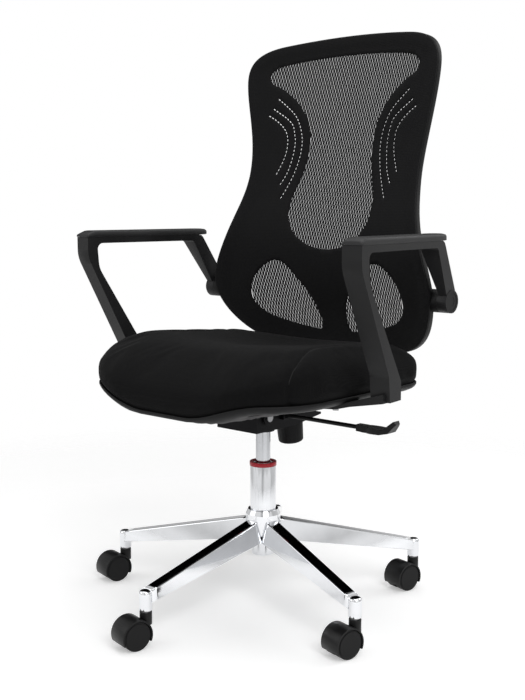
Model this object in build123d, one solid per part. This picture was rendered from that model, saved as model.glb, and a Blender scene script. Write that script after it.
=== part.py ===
from build123d import *
from math import cos, radians, sin, tan
import os

# Swivel office chair. Millimetres. +Z up, the front of the seat faces -Y, +X is the sitter's left.
# The origin is on the floor, on the axis of the gas column.

# ---- driving dimensions ----
BASE_RADIUS = 310.0          # column axis to caster stem axis
LEG_COUNT = 5
COLUMN_DIAMETER = 50.0       # outer tube of the gas column
LIFT_TUBE_DIAMETER = 28.0    # sliding pressure tube of the gas spring
SEAT_WIDTH = 530.0
SEAT_FRONT = -278.0          # front edge of the cushion, in Y
SEAT_REAR = 196.0            # rear edge of the cushion, in Y
SEAT_TOP = 514.0             # top of the cushion
ARM_TOP = 714.0              # top of the arm pads
ARM_SPACING = 660.0          # between the arm centrelines at their front ends
BACK_TOP = 1100.0            # top of the backrest on the centreline
WHEEL_DIAMETER = 52.0

# ---- clearances ----
RUNNING = 0.05               # radial, shaft in bore
SEATED = 0.02                # radial, parts pressed or pushed together
GAP = 0.3                    # between pieces that lie against each other
SLIDE = 0.3                  # around a block that slides in a slot

# ---- base ----
SOCKET_BOTTOM = 63.0
SOCKET_RADIUS = 12.0
SOCKET_TOP = 99.0
STEM_RADIUS = 5.5
SLEEVE_WALL = 1.5
SLEEVE_FLOOR = 92.0
HUB_RADIUS = 34.0
HUB_BOTTOM = 122.0
HUB_TOP = 181.0
HUB_CHAMFER = 9.0
LEG_ROOT = 24.0              # radius where a leg starts inside the hub
LEG_ROOT_TOP = 163.0
LEG_TIP_TOP = 98.0
LEG_ROOT_DEPTH = 41.0
LEG_TIP_DEPTH = 21.0
LEG_ROOT_TOP_WIDTH = 20.0
LEG_TIP_TOP_WIDTH = 16.0
LEG_ROOT_FOOT_WIDTH = 46.0
LEG_TIP_FOOT_WIDTH = 25.0
LEG_SKIN = 3.5

# ---- gas column ----
COLUMN_BOTTOM = 91.0
COLUMN_TOP = 270.0
COLUMN_TAPER = 1.4           # degrees, on the part that sits in the hub
COLUMN_WALL = 1.6
COLUMN_FLOOR = 5.0
RING_OVERHANG = 1.0
RING_BOTTOM = 266.0
RING_TOP = 274.0
RING_LIP = 2.5
BUSH_BOTTOM = 200.0
LIFT_TUBE_WALL = 2.0
LIFT_TUBE_BOTTOM = 165.0
LIFT_TUBE_END = 6.0          # end wall that the rod passes through
LIFT_CONE_BOTTOM = 334.0
LIFT_TUBE_TOP = 358.0
LIFT_CONE_TAPER = 1.4        # degrees
ROD_RADIUS = 5.0
PISTON_BOTTOM = 224.0
PISTON_HEIGHT = 12.0
BEARING_HEIGHT = 6.0
BEARING_RADIUS = 14.0
CLIP_HEIGHT = 3.0
VALVE_RADIUS = 3.5
VALVE_TOP = 366.5
VALVE_LENGTH = 18.0

# ---- tilt mechanism ----
HOUSING_HALF_WIDTH = 50.0
HOUSING_WALL = 3.0
HOUSING_FLOOR = 345.0
HOUSING_FRONT = -75.0
HOUSING_REAR = 116.0
HOUSING_BREAK = 38.0         # where the floor starts to rise to the rear
HOUSING_WALL_TOP = 383.0
HOUSING_SLOPE_START = -12.0
HOUSING_REAR_TOP = 360.0
BOSS_RADIUS = 22.0
TILT_Y = -45.0
TILT_Z = 372.0
TILT_AXLE_RADIUS = 5.0
PLATE_BOTTOM = 392.5
PLATE_THICKNESS = 4.0
PLATE_HALF_WIDTH = 62.0
PLATE_FRONT = -98.0
PLATE_REAR = 110.0
PLATE_WINDOW_HALF = 34.0
EAR_RADIUS = 14.0
KNOB_Y = 77.0
KNOB_TILT = 8.0              # degrees, the knob's foot leans to the rear
KNOB_RADIUS = 27.0
KNOB_HEIGHT = 50.0
KNOB_FLUTES = 18
KNOB_FLUTE_RADIUS = 2.2
BOLT_RADIUS = 4.0
BOLT_LENGTH = 42.0
BOLT_BELOW_FLOOR = 28.0      # the part of the bolt inside the knob
SPRING_SEAT_RADIUS = 21.0
SPRING_SEAT_THICKNESS = 3.0
SPRING_RADIUS = 15.0
SPRING_WIRE = 2.2
SPRING_TURNS = 4

# ---- lever ----
LEVER_Z = 371.0
LEVER_RADIUS = 4.0
LEVER_INNER_END = -14.0
LEVER_PIVOT_X = 47.0
LEVER_ROD_END = 238.0
LEVER_TIP = 312.0
LEVER_SWING = 5.0            # degrees, allowed for inside the slider
SLIDER_LENGTH = 24.0
SLIDER_HALF = 8.0
LEVER_PIN_RADIUS = 1.5
PADDLE_HALF_WIDTH = 15.0
PADDLE_THICKNESS = 8.0

# ---- seat ----
FRONT_CORNER = 150.0
REAR_CORNER = 70.0
SHELL_FLOOR = 397.0
SHELL_RIM = 440.0
SHELL_WALL = 3.0
SHELL_FLARE = 45.0           # how far the floor is inset from the rim
SHELL_INSET = 3.0            # rim inside the cushion outline
BOARD_BOTTOM = 422.0
BOARD_THICKNESS = 12.0
BOARD_INSET = 30.0
SEAT_BOLT_X = 48.0
SEAT_BOLT_FRONT = -85.0
SEAT_BOLT_REAR = 95.0
SEAT_BOLT_RADIUS = 4.0
BOLT_HEAD_HEIGHT = 5.0
CUSHION_TOP_ROUND = 30.0
CUSHION_BOTTOM_ROUND = 8.0

# ---- arms ----
ARM_HALF = 18.5
ARM_TOE_IN = 6.0             # degrees
ARM_FRONT = -163.0
PAD_THICKNESS = 13.0
PAD_HALF = 19.0
BEAM_THICKNESS = 12.0
FOOT_FRONT = -74.0
FOOT_REAR = -29.0
FOOT_REACH = 100.0           # how far a foot runs in under the seat
FOOT_DROP = 14.0             # foot below the board at its inner end
ARM_BOLT_RADIUS = 3.0
ARM_BOLT_INSETS = (85.0, 50.0)   # from the side of the seat
ARM_BOLT_HEAD = 4.5
ARM_BOLT_SEAT = 10.0         # the head's seat, below the board
ARM_BOLT_GRIP = 8.0          # length in the board
# the arm seen from the side: distance from its front end, height
ARM_BEAM_REAR = 288.0
ARM_GAP_FRONT = 22.0
ARM_GAP_REAR = 266.0
ARM_ELBOW_INSIDE = (26.0, 640.0)
ARM_ELBOW_OUTSIDE = (0.0, 662.0)
ARM_SHIN_REAR = (136.0, 468.0)
ARM_SHIN_FRONT = (93.0, 482.0)
ARM_HEEL_FRONT = 98.0
POST_FOOT_RISE = 12.0        # where the rear post meets the eye, above the pivot
EYE_RADIUS = 21.5
EYE_HALF = 10.5
PIVOT_ALONG_ARM = 343.0      # front end of the arm to the back pivot, along the arm
PIVOT_Z = 588.0
PIVOT_PIN_RADIUS = 6.0
CAP_RADIUS = 16.5
CAP_DEPTH = 3.0
POST_END_HALF = 6.5          # half thickness of the rear post where it meets the eye
CUP_LENGTH = 23.0            # pivot cup on the back frame
CUP_WALL = 5.0
CUP_END_WALL = 5.0
TORSION_RADIUS = 11.5
TORSION_WIRE = 1.4
TORSION_TURNS = 5

# ---- back ----
BACK_BOTTOM = 476.0
BACK_BOW = 0.0006            # the sides come forward of the centre by BACK_BOW * x * x
FRAME_WIDTH = 13.0
FRAME_FRONT = 3.0            # frame ahead of the mesh face
FRAME_DEPTH = 15.0
MESH_THICKNESS = 3.0
# the centre line of the back seen from the side: height, Y
BACK_PROFILE = [(440, 236), (520, 226), (600, 198), (660, 191), (720, 196), (780, 214),
                (840, 231), (900, 243), (960, 250), (1030, 256), (1120, 265)]
# half outline of the back seen from the front: half width, height
BACK_WAIST = (212, 835)
BACK_HIP = (271, 600)
BACK_SHOULDER = (236, 1025)
BACK_BOTTOM_HALF = 150.0
BACK_TOP_HALF = 150.0
BACK_TOP_RISE = 8.0

# ---- casters ----
CASTER_HEADING = 257.5       # degrees, all trailing the same way
TRAIL_PAST_WHEEL = 2.0       # stem axis ahead of the wheel's tread
AXLE_RADIUS = 4.0
AXLE_HALF = 17.5
WEB_HALF = 3.0
WHEEL_INNER = 4.0
WHEEL_OUTER = 20.5
WHEEL_DOME = 2.0
HOOD_GAP = 0.8
HOOD_WALL = 2.6
HOOD_HALF = 22.0
HOOD_CUT = 14.0              # the hood ends this high above the floor
NECK_RADIUS = 11.0
NECK_RISE = 12.0             # the neck starts this high above the axle
NECK_TOP = 60.0
COLLAR_RADIUS = 8.0

AXLE_Z = WHEEL_DIAMETER / 2
CASTER_TRAIL = AXLE_Z + TRAIL_PAST_WHEEL
NECK_BOTTOM = AXLE_Z + NECK_RISE
LEG_ANGLES = [270.0 + 360.0 / LEG_COUNT * k for k in range(LEG_COUNT)]


def rod(x, y, z0, z1, r):
    return Pos(x, y, (z0 + z1) / 2) * Cylinder(r, z1 - z0)


def ring(z0, z1, outer, inner, x=0, y=0):
    return rod(x, y, z0, z1, outer) - rod(x, y, z0 - 1, z1 + 1, inner)


def cone(z0, z1, r0, r1):
    return Pos(0, 0, (z0 + z1) / 2) * Cone(r0, r1, z1 - z0)


def x_rod(x0, x1, y, z, r):
    return Pos((x0 + x1) / 2, y, z) * Rot(0, 90, 0) * Cylinder(r, x1 - x0)


def y_rod(x, y0, y1, z, r):
    return Pos(x, (y0 + y1) / 2, z) * Rot(90, 0, 0) * Cylinder(r, y1 - y0)


def block(x0, x1, y0, y1, z0, z1):
    return Pos((x0 + x1) / 2, (y0 + y1) / 2, (z0 + z1) / 2) * Box(x1 - x0, y1 - y0, z1 - z0)


def outline_yz(points, half, x=0):
    face = make_face(Polyline([(x, y, z) for y, z in points], close=True))
    return extrude(face, amount=half, dir=(1, 0, 0), both=True)


def outline_xz(points, y0, y1):
    face = make_face(Polyline([(x, y0, z) for x, z in points], close=True))
    return extrude(face, amount=y1 - y0, dir=(0, 1, 0))


def mirrored(shape):
    return mirror(shape, about=Plane.YZ)


def both_sides(shape):
    return Compound([shape, mirrored(shape)])


# ---- base and column ----

def taper_radius(z):
    if z > HUB_TOP:
        return COLUMN_DIAMETER / 2
    return COLUMN_DIAMETER / 2 - (HUB_TOP - z) * tan(radians(COLUMN_TAPER))


def leg_section(r, top, depth, top_width, foot_width):
    half_top = top_width / 2
    half_foot = foot_width / 2
    step = min(5.0, depth / 4)
    points = [(half_top - 3, top), (half_top, top - 2), (half_top + 2, top - step),
              (half_foot, top - depth), (-half_foot, top - depth),
              (-half_top - 2, top - step), (-half_top, top - 2), (-half_top + 3, top)]
    return make_face(Polyline([(r, y, z) for y, z in points], close=True))


def make_leg():
    root = leg_section(LEG_ROOT, LEG_ROOT_TOP, LEG_ROOT_DEPTH, LEG_ROOT_TOP_WIDTH, LEG_ROOT_FOOT_WIDTH)
    tip = leg_section(BASE_RADIUS, LEG_TIP_TOP, LEG_TIP_DEPTH, LEG_TIP_TOP_WIDTH, LEG_TIP_FOOT_WIDTH)
    body = loft([root, tip], ruled=True)
    inner_root = leg_section(LEG_ROOT, LEG_ROOT_TOP - LEG_SKIN, LEG_ROOT_DEPTH + 2,
                             LEG_ROOT_TOP_WIDTH - 2 * LEG_SKIN, LEG_ROOT_FOOT_WIDTH - 2 * LEG_SKIN)
    inner_tip = leg_section(BASE_RADIUS, LEG_TIP_TOP - LEG_SKIN, LEG_TIP_DEPTH + 2,
                            LEG_TIP_TOP_WIDTH - 2 * LEG_SKIN, LEG_TIP_FOOT_WIDTH - 2 * LEG_SKIN)
    hollow = loft([inner_root, inner_tip], ruled=True)
    keep = block(HUB_RADIUS + 6, BASE_RADIUS - SOCKET_RADIUS - 2, -40, 40, 0, HUB_TOP)
    return body - (hollow & keep)


def make_star_base():
    hub = rod(0, 0, HUB_BOTTOM, HUB_TOP - HUB_CHAMFER, HUB_RADIUS)
    hub += cone(HUB_TOP - HUB_CHAMFER, HUB_TOP, HUB_RADIUS, HUB_RADIUS - HUB_CHAMFER * 0.55)
    leg = make_leg()
    socket = rod(BASE_RADIUS, 0, SOCKET_BOTTOM, SOCKET_TOP, SOCKET_RADIUS)
    socket = fillet(socket.edges().sort_by(Axis.Z)[-1], 3)
    base = hub
    for angle in LEG_ANGLES:
        base += Rot(0, 0, angle) * (leg + socket)
    bore_bottom = taper_radius(HUB_BOTTOM - 1) + SEATED
    bore_top = taper_radius(HUB_TOP) + SEATED
    base -= cone(HUB_BOTTOM - 1, HUB_TOP, bore_bottom, bore_top)
    for angle in LEG_ANGLES:
        hole = rod(BASE_RADIUS, 0, SOCKET_BOTTOM - 1, SLEEVE_FLOOR, STEM_RADIUS + SLEEVE_WALL + 2 * SEATED)
        base -= Rot(0, 0, angle) * hole
    return base


def make_stem_sleeves():
    outer = STEM_RADIUS + SLEEVE_WALL + SEATED
    inner = STEM_RADIUS + SEATED
    sleeve = ring(SOCKET_BOTTOM, SLEEVE_FLOOR - GAP, outer, inner, x=BASE_RADIUS)
    return Compound([Rot(0, 0, angle) * sleeve for angle in LEG_ANGLES])


def make_caster_stems():
    stem = rod(BASE_RADIUS, 0, NECK_BOTTOM + 4, SLEEVE_FLOOR - 2, STEM_RADIUS)
    stem += rod(BASE_RADIUS, 0, NECK_TOP + GAP, SOCKET_BOTTOM - GAP, COLLAR_RADIUS)
    return Compound([Rot(0, 0, angle) * stem for angle in LEG_ANGLES])


def make_column_tube():
    low = taper_radius(COLUMN_BOTTOM)
    full = COLUMN_DIAMETER / 2
    tube = cone(COLUMN_BOTTOM, HUB_TOP, low, full) + rod(0, 0, HUB_TOP, COLUMN_TOP, full)
    bore = low - COLUMN_WALL
    tube -= rod(0, 0, COLUMN_BOTTOM + COLUMN_FLOOR, COLUMN_TOP + 1, bore)
    tube -= rod(0, 0, COLUMN_BOTTOM - 1, COLUMN_TOP, ROD_RADIUS + RUNNING)
    return tube


def column_bore():
    return taper_radius(COLUMN_BOTTOM) - COLUMN_WALL


def make_guide_bush():
    return ring(BUSH_BOTTOM, COLUMN_TOP - 1, column_bore() - SEATED, LIFT_TUBE_DIAMETER / 2 + RUNNING)


def make_red_ring():
    outer = COLUMN_DIAMETER / 2 + RING_OVERHANG
    lip = column_bore() - 1
    collar = ring(RING_BOTTOM, RING_TOP, outer, COLUMN_DIAMETER / 2 + SEATED)
    collar += ring(COLUMN_TOP + SEATED, RING_TOP, outer, lip)
    return collar


def make_thrust_bearing():
    bottom = COLUMN_BOTTOM + COLUMN_FLOOR
    third = BEARING_HEIGHT / 3
    washer = ring(bottom, bottom + third, BEARING_RADIUS, ROD_RADIUS + RUNNING)
    cage = ring(bottom + third, bottom + 2 * third, BEARING_RADIUS - 2, ROD_RADIUS + RUNNING + 2)
    return washer + cage


def make_bearing_washer():
    bottom = COLUMN_BOTTOM + COLUMN_FLOOR + BEARING_HEIGHT * 2 / 3 + RUNNING
    return ring(bottom, bottom + BEARING_HEIGHT / 3, BEARING_RADIUS, ROD_RADIUS + SEATED)


def make_rod_clip():
    top = COLUMN_BOTTOM - GAP
    return ring(top - CLIP_HEIGHT, top, ROD_RADIUS * 2, ROD_RADIUS + SEATED)


def make_gas_rod():
    piston_radius = LIFT_TUBE_DIAMETER / 2 - LIFT_TUBE_WALL - RUNNING
    shaft = rod(0, 0, COLUMN_BOTTOM - CLIP_HEIGHT - 2, PISTON_BOTTOM + PISTON_HEIGHT, ROD_RADIUS)
    return shaft + rod(0, 0, PISTON_BOTTOM, PISTON_BOTTOM + PISTON_HEIGHT, piston_radius)


def lift_cone_radius(z):
    return LIFT_TUBE_DIAMETER / 2 - (z - LIFT_CONE_BOTTOM) * tan(radians(LIFT_CONE_TAPER))


def make_gas_cylinder():
    full = LIFT_TUBE_DIAMETER / 2
    tube = rod(0, 0, LIFT_TUBE_BOTTOM, LIFT_CONE_BOTTOM, full)
    tube += cone(LIFT_CONE_BOTTOM, LIFT_TUBE_TOP, full, lift_cone_radius(LIFT_TUBE_TOP))
    tube -= rod(0, 0, LIFT_TUBE_BOTTOM + LIFT_TUBE_END, VALVE_TOP - VALVE_LENGTH - 8, full - LIFT_TUBE_WALL)
    tube -= rod(0, 0, LIFT_TUBE_BOTTOM - 1, LIFT_TUBE_BOTTOM + LIFT_TUBE_END + 1, ROD_RADIUS + RUNNING)
    tube -= rod(0, 0, VALVE_TOP - VALVE_LENGTH - 9, LIFT_TUBE_TOP + 1, VALVE_RADIUS + RUNNING)
    return tube


def make_valve_pin():
    pin = rod(0, 0, VALVE_TOP - VALVE_LENGTH, VALVE_TOP, VALVE_RADIUS)
    return fillet(pin.edges().sort_by(Axis.Z)[-1], 1)


# ---- tilt mechanism ----

def knob_frame():
    """The knob's own axis: it crosses the housing floor at KNOB_Y and leans by KNOB_TILT."""
    return Pos(0, KNOB_Y, knob_floor()) * Rot(KNOB_TILT, 0, 0)


def knob_floor():
    return HOUSING_FLOOR + (KNOB_Y - HOUSING_BREAK) * tan(radians(KNOB_TILT))


def floor_at(y):
    return HOUSING_FLOOR + max(0, y - HOUSING_BREAK) * tan(radians(KNOB_TILT))


def make_mechanism_housing():
    rear_floor = floor_at(HOUSING_REAR)
    side = [(HOUSING_FRONT, HOUSING_FLOOR), (HOUSING_BREAK, HOUSING_FLOOR), (HOUSING_REAR, rear_floor),
            (HOUSING_REAR, HOUSING_REAR_TOP), (HOUSING_SLOPE_START, HOUSING_WALL_TOP),
            (HOUSING_FRONT, HOUSING_WALL_TOP)]
    wall = HOUSING_WALL
    inner = [(HOUSING_FRONT + wall, HOUSING_FLOOR + wall), (HOUSING_BREAK, HOUSING_FLOOR + wall),
             (HOUSING_REAR - wall, floor_at(HOUSING_REAR - wall) + wall),
             (HOUSING_REAR - wall, HOUSING_WALL_TOP + 1), (HOUSING_FRONT + wall, HOUSING_WALL_TOP + 1)]
    pan = outline_yz(side, HOUSING_HALF_WIDTH) - outline_yz(inner, HOUSING_HALF_WIDTH - wall)
    pan += rod(0, 0, LIFT_CONE_BOTTOM, LIFT_TUBE_TOP + 1, BOSS_RADIUS)
    low = lift_cone_radius(LIFT_CONE_BOTTOM - 1) + SEATED
    high = lift_cone_radius(LIFT_TUBE_TOP + 2) + SEATED
    pan -= cone(LIFT_CONE_BOTTOM - 1, LIFT_TUBE_TOP + 2, low, high)
    reach = HOUSING_HALF_WIDTH + 2
    pan -= x_rod(-reach, reach, TILT_Y, TILT_Z, TILT_AXLE_RADIUS + SEATED)
    half = SLIDER_HALF + SLIDE
    pan -= block(HOUSING_HALF_WIDTH - 5, reach, -half, half, LEVER_Z - half, LEVER_Z + half)
    pan -= knob_frame() * Cylinder(BOLT_RADIUS + RUNNING + 0.2, 30)
    return pan


def make_tilt_axle():
    half = HOUSING_HALF_WIDTH + 8
    axle = x_rod(-half, half, TILT_Y, TILT_Z, TILT_AXLE_RADIUS)
    for x in (-half, half - 2):
        axle += x_rod(x, x + 2, TILT_Y, TILT_Z, TILT_AXLE_RADIUS + 2.5)
    return axle


def make_tension_knob():
    knob = Cone(KNOB_RADIUS - 2.5, KNOB_RADIUS, KNOB_HEIGHT)
    knob = fillet(knob.edges().sort_by(Axis.Z)[0], 5)
    for k in range(KNOB_FLUTES):
        angle = 360.0 / KNOB_FLUTES * k
        flute = Pos(KNOB_RADIUS + 0.6, 0, 0) * Rot(0, 2.9, 0) * Cylinder(KNOB_FLUTE_RADIUS, KNOB_HEIGHT * 1.2)
        knob -= Rot(0, 0, angle) * flute
    knob -= Pos(0, 0, KNOB_HEIGHT / 2 - 15) * Cylinder(BOLT_RADIUS + SEATED, 31)
    return knob_frame() * Pos(0, 0, -KNOB_HEIGHT / 2 - 1) * knob


def make_tension_bolt():
    bolt = Pos(0, 0, BOLT_LENGTH / 2 - BOLT_BELOW_FLOOR) * Cylinder(BOLT_RADIUS, BOLT_LENGTH)
    return knob_frame() * bolt


def make_spring_seat():
    seat = Cylinder(SPRING_SEAT_RADIUS, SPRING_SEAT_THICKNESS) - Cylinder(BOLT_RADIUS + RUNNING, 20)
    lift = HOUSING_WALL / cos(radians(KNOB_TILT)) + GAP + SPRING_SEAT_THICKNESS / 2
    return knob_frame() * Pos(0, 0, lift) * seat


def spring_length():
    room = PLATE_BOTTOM - floor_at(KNOB_Y) - HOUSING_WALL - SPRING_SEAT_THICKNESS
    return room - 4 * GAP - 2 * SPRING_WIRE - 5


def make_tilt_spring():
    length = spring_length()
    path = Helix(pitch=length / SPRING_TURNS, height=length, radius=SPRING_RADIUS)
    start = path @ 0
    section = Plane(origin=start, z_dir=path % 0) * Circle(SPRING_WIRE)
    coil = sweep(section, path=path, is_frenet=True)
    lift = HOUSING_WALL + SPRING_SEAT_THICKNESS + 2 * GAP + SPRING_WIRE + 0.6
    return knob_frame() * Pos(0, 0, lift) * coil


def make_tilt_plate():
    top = PLATE_BOTTOM + PLATE_THICKNESS
    plate = block(-PLATE_HALF_WIDTH, PLATE_HALF_WIDTH, PLATE_FRONT, PLATE_REAR, PLATE_BOTTOM, top)
    plate = fillet(plate.edges().filter_by(Axis.Z), 12)
    plate -= block(-PLATE_WINDOW_HALF, PLATE_WINDOW_HALF, -PLATE_WINDOW_HALF + 4, PLATE_WINDOW_HALF,
                   PLATE_BOTTOM - 1, top + 1)
    inner = HOUSING_HALF_WIDTH + GAP
    for sign in (-1, 1):
        x0, x1 = sorted((sign * inner, sign * (inner + 4)))
        ear = block(x0, x1, TILT_Y - EAR_RADIUS, TILT_Y + EAR_RADIUS, TILT_Z, PLATE_BOTTOM + 1)
        ear += x_rod(x0, x1, TILT_Y, TILT_Z, EAR_RADIUS)
        plate += ear
    plate -= x_rod(-inner - 5, inner + 5, TILT_Y, TILT_Z, TILT_AXLE_RADIUS + RUNNING)
    for x, y in seat_bolt_places():
        plate -= rod(x, y, PLATE_BOTTOM - 1, top + 1, SEAT_BOLT_RADIUS + GAP)
    return plate


def seat_bolt_places():
    return [(x, y) for x in (-SEAT_BOLT_X, SEAT_BOLT_X) for y in (SEAT_BOLT_FRONT, SEAT_BOLT_REAR)]


def make_seat_bolts():
    bolts = []
    for x, y in seat_bolt_places():
        bolt = rod(x, y, PLATE_BOTTOM - BOLT_HEAD_HEIGHT, PLATE_BOTTOM - SEATED, SEAT_BOLT_RADIUS * 1.7)
        bolt += rod(x, y, PLATE_BOTTOM - 1, BOARD_BOTTOM + BOARD_THICKNESS - 2, SEAT_BOLT_RADIUS)
        bolts.append(bolt)
    return Compound(bolts)


# ---- lever ----

def make_lock_slider():
    half = SLIDER_HALF
    x0 = LEVER_PIVOT_X - SLIDER_LENGTH / 2
    x1 = LEVER_PIVOT_X + SLIDER_LENGTH / 2
    slider = block(x0, x1, -half, half, LEVER_Z - half, LEVER_Z + half)
    play = LEVER_RADIUS + SLIDER_LENGTH / 2 * tan(radians(LEVER_SWING)) + GAP
    slider -= block(x0 - 1, x1 + 1, -LEVER_RADIUS - RUNNING, LEVER_RADIUS + RUNNING,
                    LEVER_Z - play, LEVER_Z + play)
    slider -= y_rod(LEVER_PIVOT_X, -half - 1, half + 1, LEVER_Z, LEVER_PIN_RADIUS + SEATED)
    return slider


def make_lever_pin():
    return y_rod(LEVER_PIVOT_X, -SLIDER_HALF, SLIDER_HALF, LEVER_Z, LEVER_PIN_RADIUS)


def make_lever_rod():
    bar = x_rod(LEVER_INNER_END, LEVER_ROD_END, 0, LEVER_Z, LEVER_RADIUS)
    return bar - y_rod(LEVER_PIVOT_X, -9, 9, LEVER_Z, LEVER_PIN_RADIUS + RUNNING)


def make_lever_paddle():
    start = LEVER_ROD_END - 12
    z = LEVER_Z
    low = PADDLE_THICKNESS / 2
    side = [(start, z - 6), (start + 18, z - 7), (start + 55, z - low - 1), (LEVER_TIP - 14, z - 1),
            (LEVER_TIP, z + 16), (LEVER_TIP - 5, z + 21), (LEVER_TIP - 20, z + 8),
            (start + 55, z + low), (start + 18, z + 6), (start, z + 6)]
    paddle = outline_xz(side, -PADDLE_HALF_WIDTH, PADDLE_HALF_WIDTH)
    middle = (start + 20 + LEVER_TIP) / 2
    plan = Pos(middle, 0, 0) * Ellipse((LEVER_TIP - start - 20) / 2 + 2, PADDLE_HALF_WIDTH)
    trim = Pos(0, 0, z - 20) * extrude(plan, amount=60)
    trim += block(start - 1, middle, -7, 7, z - 20, z + 30)
    paddle &= trim
    return paddle - x_rod(start - 1, LEVER_ROD_END + SEATED, 0, z, LEVER_RADIUS + SEATED)


# ---- seat ----

def seat_face(inset):
    depth = SEAT_REAR - SEAT_FRONT - 2 * inset
    middle = (SEAT_REAR + SEAT_FRONT) / 2
    face = Pos(0, middle, 0) * Rectangle(SEAT_WIDTH - 2 * inset, depth)
    front = face.vertices().group_by(Axis.Y)[0]
    face = fillet(front, max(FRONT_CORNER - inset, 10))
    rear = face.vertices().group_by(Axis.Y)[-1]
    return fillet(rear, max(REAR_CORNER - inset, 10))


def seat_slab(inset, z0, z1):
    return extrude(Pos(0, 0, z0) * seat_face(inset), amount=z1 - z0, dir=(0, 0, 1))


def make_seat_shell():
    floor_inset = SHELL_INSET + SHELL_FLARE
    outer = loft([Pos(0, 0, SHELL_FLOOR) * seat_face(floor_inset),
                  Pos(0, 0, SHELL_RIM) * seat_face(SHELL_INSET)])
    inner = loft([Pos(0, 0, SHELL_FLOOR + SHELL_WALL) * seat_face(floor_inset + SHELL_WALL * 0.4),
                  Pos(0, 0, SHELL_RIM + 1) * seat_face(SHELL_INSET + SHELL_WALL - 1)])
    shell = outer - inner
    for x, y in seat_bolt_places():
        shell += rod(x, y, SHELL_FLOOR + 1, BOARD_BOTTOM - SEATED, 11)
    for x, y in seat_bolt_places():
        shell -= rod(x, y, SHELL_FLOOR - 1, BOARD_BOTTOM + 1, SEAT_BOLT_RADIUS + GAP)
    notch = outline_xz(foot_outline(0.5), FOOT_FRONT - 0.5, FOOT_REAR + 0.5)
    return shell - notch - mirrored(notch)


def make_seat_board():
    board = seat_slab(BOARD_INSET, BOARD_BOTTOM, BOARD_BOTTOM + BOARD_THICKNESS)
    for x, y in seat_bolt_places():
        board -= rod(x, y, BOARD_BOTTOM - 1, BOARD_BOTTOM + BOARD_THICKNESS - 1, SEAT_BOLT_RADIUS + SEATED)
    for x in arm_bolt_places():
        for sign in (-1, 1):
            board -= rod(sign * x, foot_middle(), BOARD_BOTTOM - 1, BOARD_BOTTOM + 9, ARM_BOLT_RADIUS + SEATED)
    return board


def make_seat_cushion():
    bottom = SHELL_RIM + GAP
    cushion = seat_slab(0, bottom, SEAT_TOP)
    top_edges = cushion.faces().sort_by(Axis.Z)[-1].edges()
    cushion = fillet(top_edges, CUSHION_TOP_ROUND)
    low_edges = cushion.faces().sort_by(Axis.Z)[0].edges()
    cushion = fillet(low_edges, CUSHION_BOTTOM_ROUND)
    return cushion + seat_slab(SHELL_INSET + 14, BOARD_BOTTOM + BOARD_THICKNESS + GAP, bottom + 2)


# ---- arms: drawn for the left side in the arm's own plane, then toed in ----

def foot_middle():
    return (FOOT_FRONT + FOOT_REAR) / 2


def arm_bolt_places():
    return [SEAT_WIDTH / 2 - inset for inset in ARM_BOLT_INSETS]


def foot_outline(grow=0.0):
    """The foot from the front: flat under the board, then rising out to the arm."""
    side = SEAT_WIDTH / 2
    inner = side - FOOT_REACH
    arm_line = ARM_SPACING / 2
    under_board = BOARD_BOTTOM - GAP + min(grow, 0)
    below = [(inner - grow, BOARD_BOTTOM - FOOT_DROP - grow), (side - 33, BOARD_BOTTOM - 8 - grow),
             (side - 3, BOARD_BOTTOM - grow), (arm_line, BOARD_BOTTOM + 13 - grow)]
    above = [(arm_line, BOARD_BOTTOM + 29 + grow), (side - 3, BOARD_BOTTOM + 9 + grow),
             (side - 29, under_board + grow), (inner - grow, under_board + grow)]
    return below + above


def pivot_place():
    turn = radians(ARM_TOE_IN)
    x = ARM_SPACING / 2 - PIVOT_ALONG_ARM * sin(turn)
    y = ARM_FRONT + PIVOT_ALONG_ARM * cos(turn)
    return x, y


def toed_in(shape):
    return Pos(ARM_SPACING / 2, ARM_FRONT, 0) * Rot(0, 0, ARM_TOE_IN) * shape


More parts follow.
